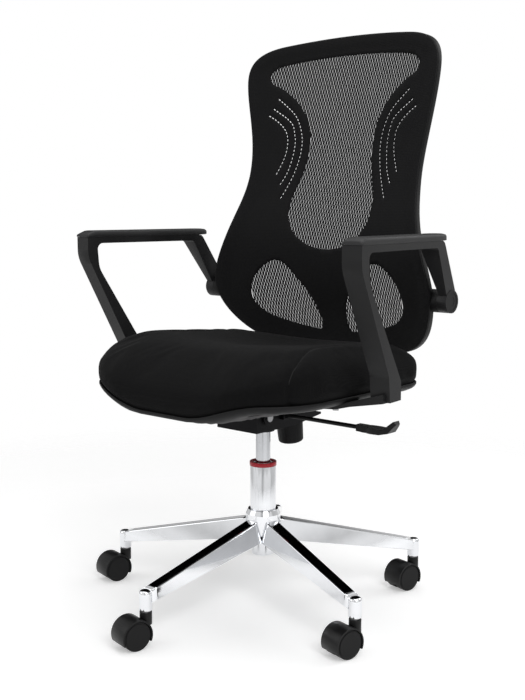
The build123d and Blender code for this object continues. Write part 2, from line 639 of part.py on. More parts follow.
def make_arm():
    top = ARM_TOP - PAD_THICKNESS
    under = top - BEAM_THICKNESS
    eye = PIVOT_ALONG_ARM
    drop = PIVOT_Z
    low = BOARD_BOTTOM + 14
    post_end = drop + POST_FOOT_RISE
    points = [(0, top), (ARM_BEAM_REAR, top), (eye + EYE_RADIUS - 1.5, post_end), (eye, drop),
              (eye - EYE_RADIUS + 2.5, post_end), (ARM_GAP_REAR, under), (ARM_GAP_FRONT, under),
              ARM_ELBOW_INSIDE, ARM_SHIN_REAR, (ARM_SHIN_REAR[0], low), (ARM_HEEL_FRONT, low),
              ARM_SHIN_FRONT, ARM_ELBOW_OUTSIDE]
    face = make_face(Polyline([(0, y, z) for y, z in points], close=True))
    arm = extrude(face, amount=ARM_HALF, dir=(1, 0, 0), both=True)
    rounds = {(ARM_GAP_FRONT, under): 12, (ARM_GAP_REAR, under): 10, ARM_ELBOW_INSIDE: 45,
              ARM_SHIN_REAR: 20, ARM_SHIN_FRONT: 20, ARM_ELBOW_OUTSIDE: 60, (ARM_BEAM_REAR, top): 12}
    for place, radius in rounds.items():
        spot = [e for e in arm.edges().filter_by(Axis.X)
                if abs(e.center().Y - place[0]) < 0.01 and abs(e.center().Z - place[1]) < 0.01]
        arm = fillet(spot, radius)
    for sign in (-1, 1):
        inside, outside = sign * POST_END_HALF, sign * (ARM_HALF + 9)
        wedge = [(inside, drop - 40), (inside, drop), (sign * ARM_HALF, under + 4),
                 (outside, under + 4), (outside, drop - 40)]
        arm -= outline_xz(wedge, 240, eye + 60)
    arm = toed_in(arm)
    x, y = pivot_place()
    arm -= x_rod(x - 40, x + 40, y, drop, EYE_RADIUS - 4)
    arm += x_rod(x - EYE_HALF, x + EYE_HALF, y, drop, EYE_RADIUS)
    arm += outline_xz(foot_outline(), FOOT_FRONT, FOOT_REAR)
    arm -= x_rod(x + EYE_HALF - CAP_DEPTH, x + EYE_HALF + 1, y, drop, CAP_RADIUS + SEATED)
    arm -= x_rod(x - EYE_HALF - 1, x + EYE_HALF - CAP_DEPTH - 2, y, drop, PIVOT_PIN_RADIUS + SEATED)
    for bolt_x in arm_bolt_places():
        arm -= rod(bolt_x, foot_middle(), BOARD_BOTTOM - 30, BOARD_BOTTOM + 1, ARM_BOLT_RADIUS + GAP)
        arm -= rod(bolt_x, foot_middle(), BOARD_BOTTOM - 30, BOARD_BOTTOM - ARM_BOLT_SEAT, ARM_BOLT_RADIUS * 2)
    return arm


def make_arm_pad():
    top = ARM_TOP
    low = ARM_TOP - PAD_THICKNESS + SEATED
    side = [(-1, low), (-1, top - 7), (14, top), (300, top), (305, top - 5), (302, low)]
    pad = outline_yz(side, PAD_HALF)
    return toed_in(pad)


def make_arm_bolts():
    bolts = []
    for sign in (-1, 1):
        for x in arm_bolt_places():
            seat = BOARD_BOTTOM - ARM_BOLT_SEAT - SEATED
            bolt = rod(sign * x, foot_middle(), seat - 1, BOARD_BOTTOM + ARM_BOLT_GRIP, ARM_BOLT_RADIUS)
            bolt += rod(sign * x, foot_middle(), seat - ARM_BOLT_HEAD, seat, ARM_BOLT_RADIUS * 1.8)
            bolts.append(bolt)
    return Compound(bolts)


def make_pivot_pin():
    x, y = pivot_place()
    return x_rod(cup_ends()[0] + 1, x + EYE_HALF - CAP_DEPTH - 3, y, PIVOT_Z, PIVOT_PIN_RADIUS)


def make_pivot_cap():
    x, y = pivot_place()
    outer = x + EYE_HALF - 0.8
    cap = x_rod(x + EYE_HALF - CAP_DEPTH, outer, y, PIVOT_Z, CAP_RADIUS)
    return cap - x_rod(outer - 0.6, outer + 1, y, PIVOT_Z, CAP_RADIUS * 0.55)


def cup_ends():
    outer = pivot_place()[0] - EYE_HALF - GAP
    return outer - CUP_LENGTH, outer


def cup_cavity():
    y = pivot_place()[1]
    inner, outer = cup_ends()
    cavity = x_rod(inner + CUP_END_WALL, outer + 1, y, PIVOT_Z, EYE_RADIUS - CUP_WALL)
    return cavity + x_rod(inner - 1, outer + 1, y, PIVOT_Z, PIVOT_PIN_RADIUS + RUNNING)


def make_pivot_cup(frame):
    y = pivot_place()[1]
    inner, outer = cup_ends()
    cup = x_rod(inner, outer, y, PIVOT_Z, EYE_RADIUS) - cup_cavity() - frame
    return max(cup.solids(), key=lambda s: s.volume)


def make_torsion_spring():
    y = pivot_place()[1]
    length = CUP_LENGTH - CUP_END_WALL - 4 * TORSION_WIRE
    path = Helix(pitch=length / TORSION_TURNS, height=length, radius=TORSION_RADIUS)
    section = Plane(origin=path @ 0, z_dir=path % 0) * Circle(TORSION_WIRE)
    coil = sweep(section, path=path, is_frenet=True)
    return Pos(cup_ends()[1] - 2 * TORSION_WIRE, y, PIVOT_Z) * Rot(0, -90, 0) * coil


# ---- back ----

def bend(start, start_handle, end, end_handle):
    """A smooth bend between two points (half width, height), leaving and arriving along the handles."""
    x0, z0 = start
    x1, z1 = end
    return Bezier((x0, 0, z0), (x0 + start_handle[0], 0, z0 + start_handle[1]),
                  (x1 - end_handle[0], 0, z1 - end_handle[1]), (x1, 0, z1))


def back_outline(inset):
    low = BACK_BOTTOM + inset
    top = BACK_TOP - BACK_TOP_RISE - inset
    sill_end = (BACK_BOTTOM_HALF, low)
    hip = (BACK_HIP[0] - inset, BACK_HIP[1])
    waist = (BACK_WAIST[0] - inset, BACK_WAIST[1])
    shoulder = (BACK_SHOULDER[0] - inset, BACK_SHOULDER[1])
    crown_end = (BACK_TOP_HALF, top)
    slope = 2 * BACK_TOP_RISE / BACK_TOP_HALF
    corner = shoulder[0] - BACK_TOP_HALF
    side = [
        bend(sill_end, ((hip[0] - BACK_BOTTOM_HALF) * 0.58, 0), hip, (0, (hip[1] - low) * 0.48)),
        bend(hip, (0, 50), waist, (0, 90)),
        bend(waist, (0, 70), shoulder, (0, 50)),
        bend(shoulder, (0, (top - shoulder[1]) * 0.6), crown_end, (-corner * 0.72, corner * 0.72 * slope)),
    ]
    crown = ThreePointArc((BACK_TOP_HALF, 0, top), (0, 0, top + BACK_TOP_RISE), (-BACK_TOP_HALF, 0, top))
    sill = Line((-BACK_BOTTOM_HALF, 0, low), (BACK_BOTTOM_HALF, 0, low))
    other_side = [mirrored(piece) for piece in side]
    return make_face([sill, *side, crown, *other_side])


def back_slab(front, rear):
    """A doubly curved slab between two offsets from the mesh face."""
    reach = 300.0
    faces = []
    for z, y in BACK_PROFILE:
        side_y = y - BACK_BOW * reach * reach
        near = ThreePointArc((-reach, side_y + front, z), (0, y + front, z), (reach, side_y + front, z))
        far = ThreePointArc((-reach, side_y + rear, z), (0, y + rear, z), (reach, side_y + rear, z))
        ends = [Line(near @ 0, far @ 0), Line(near @ 1, far @ 1)]
        faces.append(make_face([near, far] + ends))
    return loft(faces)


def through(face):
    return extrude(face, amount=500, dir=(0, 1, 0))


def make_back_frame():
    band = through(back_outline(0)) - through(back_outline(FRAME_WIDTH))
    frame = back_slab(-FRAME_FRONT, FRAME_DEPTH - FRAME_FRONT) & band
    return frame - both_sides(cup_cavity())


def make_back_mesh():
    return back_slab(0, MESH_THICKNESS) & through(back_outline(FRAME_WIDTH + GAP))


# ---- casters: drawn with the stem on Z and the wheels trailing along +X ----

def make_caster_hood():
    tread = AXLE_Z
    inner = tread + HOOD_GAP
    outer = inner + HOOD_WALL
    x = CASTER_TRAIL
    hood = y_rod(x, -HOOD_HALF, HOOD_HALF, AXLE_Z, outer)
    hood += rod(0, 0, NECK_BOTTOM, NECK_TOP, NECK_RADIUS)
    hood -= y_rod(x, -HOOD_HALF - 1, -WEB_HALF, AXLE_Z, inner)
    hood -= y_rod(x, WEB_HALF, HOOD_HALF + 1, AXLE_Z, inner)
    hood -= block(x - outer - 1, x + outer + 1, -HOOD_HALF - 1, HOOD_HALF + 1, -10, HOOD_CUT)
    hood -= y_rod(x, -10, 10, AXLE_Z, AXLE_RADIUS + SEATED)
    hood -= rod(0, 0, NECK_BOTTOM + 3, NECK_TOP + 1, STEM_RADIUS + RUNNING)
    return max(hood.solids(), key=lambda s: s.volume)


def make_caster_wheel():
    x = CASTER_TRAIL
    wheel = y_rod(x, WHEEL_INNER, WHEEL_OUTER, AXLE_Z, AXLE_Z)
    wheel = fillet(wheel.edges().filter_by(GeomType.CIRCLE), 1.5)
    wheel += y_rod(x, WHEEL_OUTER - 1, WHEEL_OUTER + WHEEL_DOME / 2, AXLE_Z, AXLE_Z - 3)
    return wheel - y_rod(x, WHEEL_INNER - 1, AXLE_HALF + 1, AXLE_Z, AXLE_RADIUS + RUNNING)


def make_caster_axle():
    return y_rod(CASTER_TRAIL, -AXLE_HALF, AXLE_HALF, AXLE_Z, AXLE_RADIUS)


def at_leg(shape, angle):
    spot = Rot(0, 0, angle) * Pos(BASE_RADIUS, 0, 0)
    return Pos(spot.position) * Rot(0, 0, CASTER_HEADING) * shape


def write(shape, name):
    export_step(shape, f"parts/{name}.step")


def main():
    os.makedirs("parts", exist_ok=True)
    write(make_star_base(), "star_base")
    write(make_stem_sleeves(), "stem_sleeves")
    write(make_caster_stems(), "caster_stems")
    write(make_column_tube(), "column_tube")
    write(make_guide_bush(), "guide_bush")
    write(make_red_ring(), "red_ring")
    write(make_thrust_bearing(), "thrust_bearing")
    write(make_bearing_washer(), "bearing_washer")
    write(make_rod_clip(), "rod_clip")
    write(make_gas_rod(), "gas_rod")
    write(make_gas_cylinder(), "gas_cylinder")
    write(make_valve_pin(), "valve_pin")
    write(make_mechanism_housing(), "mechanism_housing")
    write(make_tilt_axle(), "tilt_axle")
    write(make_tension_knob(), "tension_knob")
    write(make_tension_bolt(), "tension_bolt")
    write(make_spring_seat(), "spring_seat")
    write(make_tilt_spring(), "tilt_spring")
    write(make_tilt_plate(), "tilt_plate")
    write(make_seat_bolts(), "seat_bolts")
    write(make_lock_slider(), "lock_slider")
    write(make_lever_pin(), "lever_pin")
    write(make_lever_rod(), "lever_rod")
    write(make_lever_paddle(), "lever_paddle")
    write(make_seat_shell(), "seat_shell")
    write(make_seat_board(), "seat_board")
    write(make_seat_cushion(), "seat_cushion")
    write(make_arm_bolts(), "arm_bolts")
    write(both_sides(make_pivot_pin()), "pivot_pins")
    write(both_sides(make_pivot_cap()), "pivot_caps")
    frame = make_back_frame()
    write(frame, "back_frame")
    write(make_back_mesh(), "back_mesh")
    sided = {
        "arm": make_arm(),
        "arm_pad": make_arm_pad(),
        "pivot_cup": make_pivot_cup(frame),
        "torsion_spring": make_torsion_spring(),
    }
    for name, shape in sided.items():
        write(shape, f"left_{name}")
        write(mirrored(shape), f"right_{name}")
    hood = make_caster_hood()
    axle = make_caster_axle()
    wheel = make_caster_wheel()
    other_wheel = mirror(wheel, about=Plane.XZ)
    for number, angle in enumerate(LEG_ANGLES, start=1):
        write(at_leg(hood, angle), f"caster_{number}_hood")
        write(at_leg(axle, angle), f"caster_{number}_axle")
        write(at_leg(wheel, angle), f"caster_{number}_wheel_left")
        write(at_leg(other_wheel, angle), f"caster_{number}_wheel_right")


main()
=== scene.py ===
"""Swivel office chair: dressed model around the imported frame. Metres, +Z up, the seat faces -Y."""
from math import copysign, cos, dist, exp, hypot, pi, radians, sin, sqrt, tau

import bmesh
import bpy
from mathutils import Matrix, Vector
from mathutils.bvhtree import BVHTree
from mathutils.geometry import delaunay_2d_cdt, interpolate_bezier
from mathutils.kdtree import KDTree


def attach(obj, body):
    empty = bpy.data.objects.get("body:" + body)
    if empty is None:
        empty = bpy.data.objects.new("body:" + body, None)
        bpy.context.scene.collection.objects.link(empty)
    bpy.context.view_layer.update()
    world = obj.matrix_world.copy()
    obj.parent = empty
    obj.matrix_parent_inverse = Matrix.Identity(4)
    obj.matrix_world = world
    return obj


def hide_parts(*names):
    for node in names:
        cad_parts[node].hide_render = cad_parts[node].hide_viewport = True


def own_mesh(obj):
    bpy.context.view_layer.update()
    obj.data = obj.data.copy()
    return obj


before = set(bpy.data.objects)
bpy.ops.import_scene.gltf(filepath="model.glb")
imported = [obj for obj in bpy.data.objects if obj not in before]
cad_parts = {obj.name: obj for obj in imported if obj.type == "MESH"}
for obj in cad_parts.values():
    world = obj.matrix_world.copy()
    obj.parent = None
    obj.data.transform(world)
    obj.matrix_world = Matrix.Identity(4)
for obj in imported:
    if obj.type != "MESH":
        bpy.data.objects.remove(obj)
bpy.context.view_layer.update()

bl_info = {
    "name": "Swivel office chair",
    "version": (1, 0, 0),
    "blender": (4, 5, 0),
    "location": "View3D > Sidebar > Chair",
    "description": "Builds the chair's upholstery, mesh back, mouldings and chrome",
    "category": "Object",
}

# outline of the back from the front: half width, height
SILL = (0.150, 0.476)
HIP = (0.271, 0.600)
WAIST = (0.212, 0.835)
SHOULDER = (0.236, 1.025)
CROWN = (0.150, 1.092)
CROWN_RISE = 0.008

# half outlines of the see-through windows: half width, height
TALL_WINDOW = [(0.0, 1.062), (0.070, 1.060), (0.130, 1.055), (0.168, 1.048), (0.183, 1.038),
               (0.187, 1.027), (0.178, 1.015), (0.157, 1.005), (0.131, 0.987), (0.115, 0.972),
               (0.101, 0.954), (0.090, 0.935), (0.083, 0.915), (0.080, 0.893), (0.080, 0.870),
               (0.083, 0.847), (0.090, 0.818), (0.099, 0.792), (0.105, 0.764), (0.102, 0.738),
               (0.090, 0.714), (0.070, 0.695), (0.042, 0.681), (0.0, 0.675)]
LOW_WINDOW = [(0.130, 0.650), (0.157, 0.637), (0.180, 0.614), (0.192, 0.585), (0.190, 0.560),
              (0.172, 0.540), (0.143, 0.527), (0.095, 0.515), (0.048, 0.508), (0.037, 0.510),
              (0.033, 0.535), (0.048, 0.580), (0.080, 0.619), (0.105, 0.643)]
# narrow slits beside the tall window
SLITS = [
    [(0.165, 0.985), (0.148, 0.972), (0.131, 0.958), (0.118, 0.944), (0.110, 0.929), (0.103, 0.910),
     (0.100, 0.893), (0.100, 0.876), (0.102, 0.858), (0.110, 0.826), (0.122, 0.796), (0.131, 0.777)],
    [(0.176, 0.965), (0.160, 0.955), (0.140, 0.942), (0.126, 0.928), (0.120, 0.909), (0.117, 0.893),
     (0.118, 0.870), (0.122, 0.846), (0.128, 0.826), (0.141, 0.802)],
    [(0.186, 0.951), (0.170, 0.942), (0.154, 0.930), (0.143, 0.918), (0.137, 0.905), (0.135, 0.890),
     (0.136, 0.873), (0.140, 0.857), (0.146, 0.841), (0.153, 0.825)],
]
# seam of the seat's side panel: half width, Y
SIDE_SEAM = [(0.236, -0.216), (0.229, -0.192), (0.221, -0.162), (0.208, -0.118), (0.192, -0.070),
             (0.181, -0.025), (0.180, 0.025), (0.188, 0.077), (0.204, 0.118), (0.228, 0.152)]


# ---------------------------------------------------------------- sizes and colours

def measure(name, text, default, low=0.0):
    return bpy.props.FloatProperty(name=name, description=text, default=default, min=low, unit="LENGTH")


def place_on_y(name, text, default):
    return bpy.props.FloatProperty(name=name, description=text, default=default, unit="LENGTH")


def colour(name, text, default):
    return bpy.props.FloatVectorProperty(
        name=name, description=text, default=default, subtype="COLOR", size=3)


class ChairSizes(bpy.types.PropertyGroup):
    strand_pitch: measure("Strand pitch", "Distance between the strands of the open mesh", 0.0033, 0.002)
    strand_width: measure("Strand width", "Width of one strand of the open mesh", 0.00298, 0.0005)
    strand_thickness: measure("Strand thickness", "Thickness of one strand", 0.0007, 0.0002)
    strand_wave: measure("Strand wave", "How far a strand swings to each side", 0.00024)
    strand_wave_length: measure("Wave length", "Length of one wave of a strand", 0.016, 0.004)
    cloth_thickness: measure("Cloth thickness", "Thickness of the back's close cloth", 0.0011, 0.0004)
    frame_lift: measure("Lift over frame", "How far the cloth stands forward on the frame", 0.0037)
    slit_width: measure("Slit width", "Width of the narrow slits in the back", 0.0018)
    seat_width: measure("Seat width", "Width of the seat cushion", 0.530)
    seat_front: place_on_y("Seat front", "Front edge of the seat cushion along Y", -0.278)
    seat_rear: place_on_y("Seat rear", "Rear edge of the seat cushion along Y", 0.196)
    seat_top: measure("Seat top", "Height of the seat cushion's crest", 0.519)
    front_corner: measure("Front corners", "Radius of the seat's front corners in plan", 0.150)
    rear_corner: measure("Rear corners", "Radius of the seat's rear corners in plan", 0.070)


class ChairColours(bpy.types.PropertyGroup):
    cloth: colour("Cloth", "Seat cloth", (0.0055, 0.0055, 0.0058))
    mesh: colour("Mesh", "Mesh cloth of the back", (0.0055, 0.0055, 0.0058))
    strand: colour("Strand", "Open strands of the back", (0.0120, 0.0125, 0.0130))
    arm: colour("Arms", "Moulded arms and seat shell", (0.0120, 0.0120, 0.0125))
    pad: colour("Arm pads", "Arm pads", (0.0260, 0.0260, 0.0268))
    black: colour("Black nylon", "Casters, knob and lever", (0.0060, 0.0060, 0.0063))
    ring: colour("Column ring", "Ring on top of the column", (0.42, 0.008, 0.018))
    floor: colour("Floor", "Studio floor", (0.90, 0.90, 0.90))


def sizes():
    return bpy.context.scene.chair_sizes


def colours():
    return bpy.context.scene.chair_colours


# ---------------------------------------------------------------- materials

# start of the names of the script's own materials
OWN = "chair_"


def new_material(name):
    material = bpy.data.materials.new(OWN + name)
    material.use_nodes = True
    tree = material.node_tree
    shader = tree.nodes["Principled BSDF"]
    place = tree.nodes.new("ShaderNodeTexCoord").outputs["Object"]
    return material, tree, shader, place


def add(tree, kind, **values):
    node = tree.nodes.new(kind)
    for key, value in values.items():
        socket = node.inputs.get(key)
        if socket is not None:
            socket.default_value = value
        else:
            setattr(node, key, value)
    return node


def noise(tree, place, scale, detail=2.0, stretch=None):
    if stretch is not None:
        turn = add(tree, "ShaderNodeMapping", Scale=stretch)
        tree.links.new(place, turn.inputs["Vector"])
        place = turn.outputs["Vector"]
    node = add(tree, "ShaderNodeTexNoise", Scale=scale, Detail=detail)
    tree.links.new(place, node.inputs["Vector"])
    return node.outputs["Fac"]


def spread(tree, value, low, high, start=0.3, end=0.7):
    node = add(tree, "ShaderNodeMapRange")
    tree.links.new(value, node.inputs["Value"])
    for key, number in (("From Min", start), ("From Max", end), ("To Min", low), ("To Max", high)):
        node.inputs[key].default_value = number
    return node.outputs["Result"]


def tint(tree, fac, dark, light):
    ramp = tree.nodes.new("ShaderNodeValToRGB")
    tree.links.new(fac, ramp.inputs["Fac"])
    ends = ramp.color_ramp.elements
    ends[0].position, ends[1].position = 0.3, 0.7
    ends[0].color = (*dark, 1.0)
    ends[1].color = (*light, 1.0)
    return ramp.outputs["Color"]


def paint(tree, shader, fac, dark, light):
    tree.links.new(tint(tree, fac, dark, light), shader.inputs["Base Color"])


def roughen(tree, shader, fac, low, high):
    tree.links.new(spread(tree, fac, low, high), shader.inputs["Roughness"])


def raise_by(tree, shader, height, distance, strength=1.0):
    bump = add(tree, "ShaderNodeBump", Strength=strength, Distance=distance)
    tree.links.new(height, bump.inputs["Height"])
    tree.links.new(bump.outputs["Normal"], shader.inputs["Normal"])


def shade(colour, factor):
    return tuple(min(1.0, c * factor) for c in colour)


def moulded(name, colour, roughness=0.48, grain=1400.0, depth=0.00008, gloss=0.38):
    """Moulded plastic with a fine sparked grain and slight handling marks."""
    material, tree, shader, place = new_material(name)
    handling = noise(tree, place, 14.0, 4.0)
    paint(tree, shader, handling, shade(colour, 0.86), shade(colour, 1.14))
    roughen(tree, shader, handling, roughness - 0.06, roughness + 0.08)
    shader.inputs["Specular IOR Level"].default_value = gloss
    raise_by(tree, shader, noise(tree, place, grain, 2.0), depth, 0.6)
    return material


def chromed(name, colour=(0.80, 0.81, 0.83), roughness=0.05):
    """Bright chrome plate with faint polishing haze."""
    material, tree, shader, place = new_material(name)
    haze = noise(tree, place, 30.0, 5.0)
    paint(tree, shader, haze, shade(colour, 0.95), colour)
    roughen(tree, shader, haze, roughness, roughness + 0.05)
    shader.inputs["Metallic"].default_value = 1.0
    raise_by(tree, shader, noise(tree, place, 55.0, 2.0), 0.00003, 0.25)
    return material


def steel(name, colour, roughness):
    material, tree, shader, place = new_material(name)
    drawn = noise(tree, place, 500.0, 3.0, (1.0, 1.0, 0.06))
    paint(tree, shader, drawn, shade(colour, 0.8), shade(colour, 1.1))
    roughen(tree, shader, drawn, roughness - 0.05, roughness + 0.1)
    shader.inputs["Metallic"].default_value = 1.0
    raise_by(tree, shader, drawn, 0.00004, 0.4)
    return material


def bands(tree, place, pitch, direction, distortion=0.0):
    wave = add(tree, "ShaderNodeTexWave", wave_type="BANDS", bands_direction=direction,
               wave_profile="SIN")
    wave.inputs["Scale"].default_value = tau / (20.0 * pitch)
    wave.inputs["Distortion"].default_value = distortion
    wave.inputs["Detail"].default_value = 1.0
    tree.links.new(place, wave.inputs["Vector"])
    return wave.outputs["Fac"]


def combine(tree, a, b, operation):
    node = add(tree, "ShaderNodeMath", operation=operation)
    tree.links.new(a, node.inputs[0])
    tree.links.new(b, node.inputs[1])
    return node.outputs["Value"]


def woven(name, colour, pitch, depth, roughness=0.92, sheen=0.02):
    """Plain woven cloth: two sets of threads over a soft mottle."""
    material, tree, shader, place = new_material(name)
    across = bands(tree, place, pitch, "X", 0.4)
    along = combine(tree, bands(tree, place, pitch, "Y", 0.4), bands(tree, place, pitch, "Z", 0.4),
                    "MAXIMUM")
    threads = combine(tree, across, along, "MULTIPLY")
    mottle = noise(tree, place, 120.0, 4.0)
    fibre = combine(tree, threads, mottle, "MULTIPLY")
    paint(tree, shader, fibre, shade(colour, 0.62), shade(colour, 1.5))
    roughen(tree, shader, mottle, roughness - 0.06, roughness + 0.05)
    shader.inputs["Sheen Weight"].default_value = sheen
    shader.inputs["Sheen Roughness"].default_value = 0.45
    shader.inputs["Specular IOR Level"].default_value = 0.10
    raise_by(tree, shader, fibre, depth, 0.8)
    return material


def knitted(name, colour, pitch, depth, roughness=0.75):
    """Close knitted mesh: upright ribs crossed by finer stitches."""
    material, tree, shader, place = new_material(name)
    ribs = bands(tree, place, pitch, "X", 0.0)
    stitches = bands(tree, place, pitch * 0.9, "Z", 1.5)
    weave = combine(tree, ribs, stitches, "MULTIPLY")
    mottle = noise(tree, place, 60.0, 3.0)
    mixed = combine(tree, weave, mottle, "ADD")
    paint(tree, shader, mixed, shade(colour, 0.7), shade(colour, 1.45))
    roughen(tree, shader, mottle, roughness - 0.06, roughness + 0.08)
    shader.inputs["Sheen Weight"].default_value = 0.004
    shader.inputs["Specular IOR Level"].default_value = 0.10
    raise_by(tree, shader, weave, depth, 0.8)
    return material


def ply(name):
    material, tree, shader, place = new_material(name)
    grain = noise(tree, place, 90.0, 4.0, (0.15, 1.0, 1.0))
    paint(tree, shader, grain, (0.32, 0.19, 0.09), (0.52, 0.34, 0.18))
    roughen(tree, shader, grain, 0.6, 0.8)
    raise_by(tree, shader, grain, 0.0002, 0.4)
    return material


def own_materials():
    """The script's own materials by plain name; the frame brings others without the prefix."""
    return {m.name[len(OWN):]: m for m in bpy.data.materials if m.name.startswith(OWN)}


def finishes():
    """Every finish of the chair, made once."""
    made = own_materials()
    if "chrome" in made:
        return made
    c = colours()
    chromed("chrome")
    chromed("chrome_column", (0.76, 0.77, 0.79), 0.07)
    chromed("chrome_rod", (0.60, 0.61, 0.63), 0.10)
    steel("steel", (0.42, 0.42, 0.43), 0.38)
    steel("black_steel", (0.012, 0.012, 0.013), 0.45)
    moulded("bush_plastic", (0.03, 0.03, 0.03))
    moulded("red_plastic", c.ring[:], roughness=0.3)
    moulded("knob_plastic", c.black[:], roughness=0.42, gloss=0.12)
    moulded("lever_plastic", c.black[:], roughness=0.34, gloss=0.16)
    moulded("shell_plastic", shade(c.arm[:], 0.8), roughness=0.5, gloss=0.14)
    moulded("arm_plastic", c.arm[:], roughness=0.40, gloss=0.20)
    moulded("pad_plastic", c.pad[:], roughness=0.5, gloss=0.22)
    moulded("frame_plastic", shade(c.arm[:], 0.5), roughness=0.45, gloss=0.14)
    moulded("caster_plastic", c.black[:], roughness=0.34, gloss=0.22)
    moulded("wheel_plastic", shade(c.black[:], 1.1), roughness=0.42, gloss=0.16)
    ply("plywood")
    woven("seat_fabric", c.cloth[:], 0.0012, 0.0004)
    knitted("mesh_fabric", c.mesh[:], 0.0033, 0.0004)
    knitted("strand_yarn", c.strand[:], 0.0011, 0.0001)
    # the seam thread is darker than the cloth: painted shade along the creases of the seat's seams
    moulded("seam_thread", (0.003, 0.003, 0.003), roughness=0.9)
    return own_materials()


# ---------------------------------------------------------------- mesh helpers

def new_object(name, vertices, faces, material, body, replaces=()):
    mesh = bpy.data.meshes.new(name)
    mesh.from_pydata([tuple(v) for v in vertices], [], faces)
    mesh.validate()
    mesh.update()
    obj = bpy.data.objects.new(name, mesh)
    bpy.context.scene.collection.objects.link(obj)
    tidy_faces(mesh)
    mesh.materials.append(finishes()[material])
    if body:
        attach(obj, body)
    if replaces:
        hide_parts(*replaces)
    return obj


def tidy_faces(mesh):
    shape = bmesh.new()
    shape.from_mesh(mesh)
    bmesh.ops.remove_doubles(shape, verts=shape.verts, dist=1e-6)
    bmesh.ops.recalc_face_normals(shape, faces=shape.faces)
    for face in shape.faces:
        face.smooth = True
    shape.to_mesh(mesh)
    shape.free()


EDGE_ANGLE = radians(35.0)


def finish_node(name, material, rounding=0.0):
    """Gives a CAD node its material and, where asked, softened edges."""
    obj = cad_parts[name]
    obj.data.materials.clear()
    obj.data.materials.append(finishes()[material])
    if rounding:
        weld = obj.modifiers.new("weld", "WELD")
        weld.merge_threshold = 1e-6
        edge = obj.modifiers.new("edge", "BEVEL")
        edge.width = rounding
        edge.segments = 3
        edge.limit_method = "ANGLE"
        edge.angle_limit = EDGE_ANGLE
        edge.harden_normals = True
        edge.miter_outer = "MITER_ARC"


def finish_nodes(*rows):
    """Each row is what finish_node takes: node, finish and, where it has one, bevel."""
    for row in rows:
        finish_node(*row)


def smooth_step(value):
    value = max(0.0, min(1.0, value))
    return value * value * (3.0 - 2.0 * value)


def ease(value, start, end):
    return smooth_step((value - start) / (end - start))


def loft(rings, closed_ends=True):
    """Faces between rings of equal length; the ends are filled with a fan."""
    vertices = [v for ring in rings for v in ring]
    count = len(rings[0])
    faces = []
    for r in range(len(rings) - 1):
        for k in range(count):
            a, b = r * count + k, r * count + (k + 1) % count
            faces.append((a, b, b + count, a + count))
    if closed_ends:
        faces.append(tuple(range(count)))
        faces.append(tuple(range(len(vertices) - count, len(vertices))))
    return vertices, faces


# ---------------------------------------------------------------- back

def back_outline(inset, steps=26):
    """Closed outline of the back (x, z), inset from the frame's edge."""
    low, top = SILL[1] + inset, CROWN[1] - inset
    hip, waist, shoulder = ((p[0] - inset, p[1]) for p in (HIP, WAIST, SHOULDER))
    slope = 2 * CROWN_RISE / CROWN[0]
    corner = shoulder[0] - CROWN[0]
    bends = [
        ((SILL[0], low), ((hip[0] - SILL[0]) * 0.58, 0), hip, (0, (hip[1] - low) * 0.48)),
        (hip, (0, 0.050), waist, (0, 0.090)),
        (waist, (0, 0.070), shoulder, (0, 0.050)),
        (shoulder, (0, (top - shoulder[1]) * 0.6),
         (CROWN[0], top), (-corner * 0.72, corner * 0.72 * slope)),
    ]
    side = []
    for start, leave, end, arrive in bends:
        p0, p3 = Vector((*start, 0)), Vector((*end, 0))
        p1 = p0 + Vector((*leave, 0))
        p2 = p3 - Vector((*arrive, 0))
        side += [(p.x, p.y) for p in interpolate_bezier(p0, p1, p2, p3, steps)[:-1]]
    crown = []
    for k in range(steps):
        x = CROWN[0] * (1.0 - k / steps)
        crown.append((x, top + CROWN_RISE * (1.0 - (x / CROWN[0]) ** 2)))
    half = side + crown + [(0.0, top + CROWN_RISE)]
    other = [(-x, z) for x, z in reversed(half[:-1])]
    sill = [(SILL[0] * (-1 + 2 * k / steps), low) for k in range(1, steps)]
    return half + other + sill


def smooth_path(points, closed, step):
    """Catmull-Rom through the points, resampled at about one step."""
    count = len(points)
    dense = []
    spans = count if closed else count - 1
    for k in range(spans):
        p = [points[(k + o) % count] if closed else points[max(0, min(count - 1, k + o))]
             for o in (-1, 0, 1, 2)]
        for s in range(12):
            t = s / 12
            dense.append(tuple(
                0.5 * (2 * p[1][c] + (p[2][c] - p[0][c]) * t
                       + (2 * p[0][c] - 5 * p[1][c] + 4 * p[2][c] - p[3][c]) * t * t
                       + (3 * p[1][c] - p[0][c] - 3 * p[2][c] + p[3][c]) * t ** 3)
                for c in (0, 1)))
    dense.append(points[0] if closed else points[-1])
    result, left = [dense[0]], step
    for a, b in zip(dense, dense[1:]):
        span = dist(a, b)
        while span >= left > 0:
            t = left / span
            a = (a[0] + (b[0] - a[0]) * t, a[1] + (b[1] - a[1]) * t)
            result.append(a)
            span = dist(a, b)
            left = step
        left -= span
    if closed and dist(result[0], result[-1]) < step * 0.6:
        result.pop()
    return result


def mirrored(points):
    return [(-x, z) for x, z in reversed(points)]


def windows():
    """Closed outlines of the three see-through windows."""
    tall = TALL_WINDOW + [(-x, z) for x, z in reversed(TALL_WINDOW[1:-1])]
    tall = smooth_path(tall, True, 0.004)
    low = smooth_path(LOW_WINDOW, True, 0.004)
    return [tall, low, mirrored(low)]


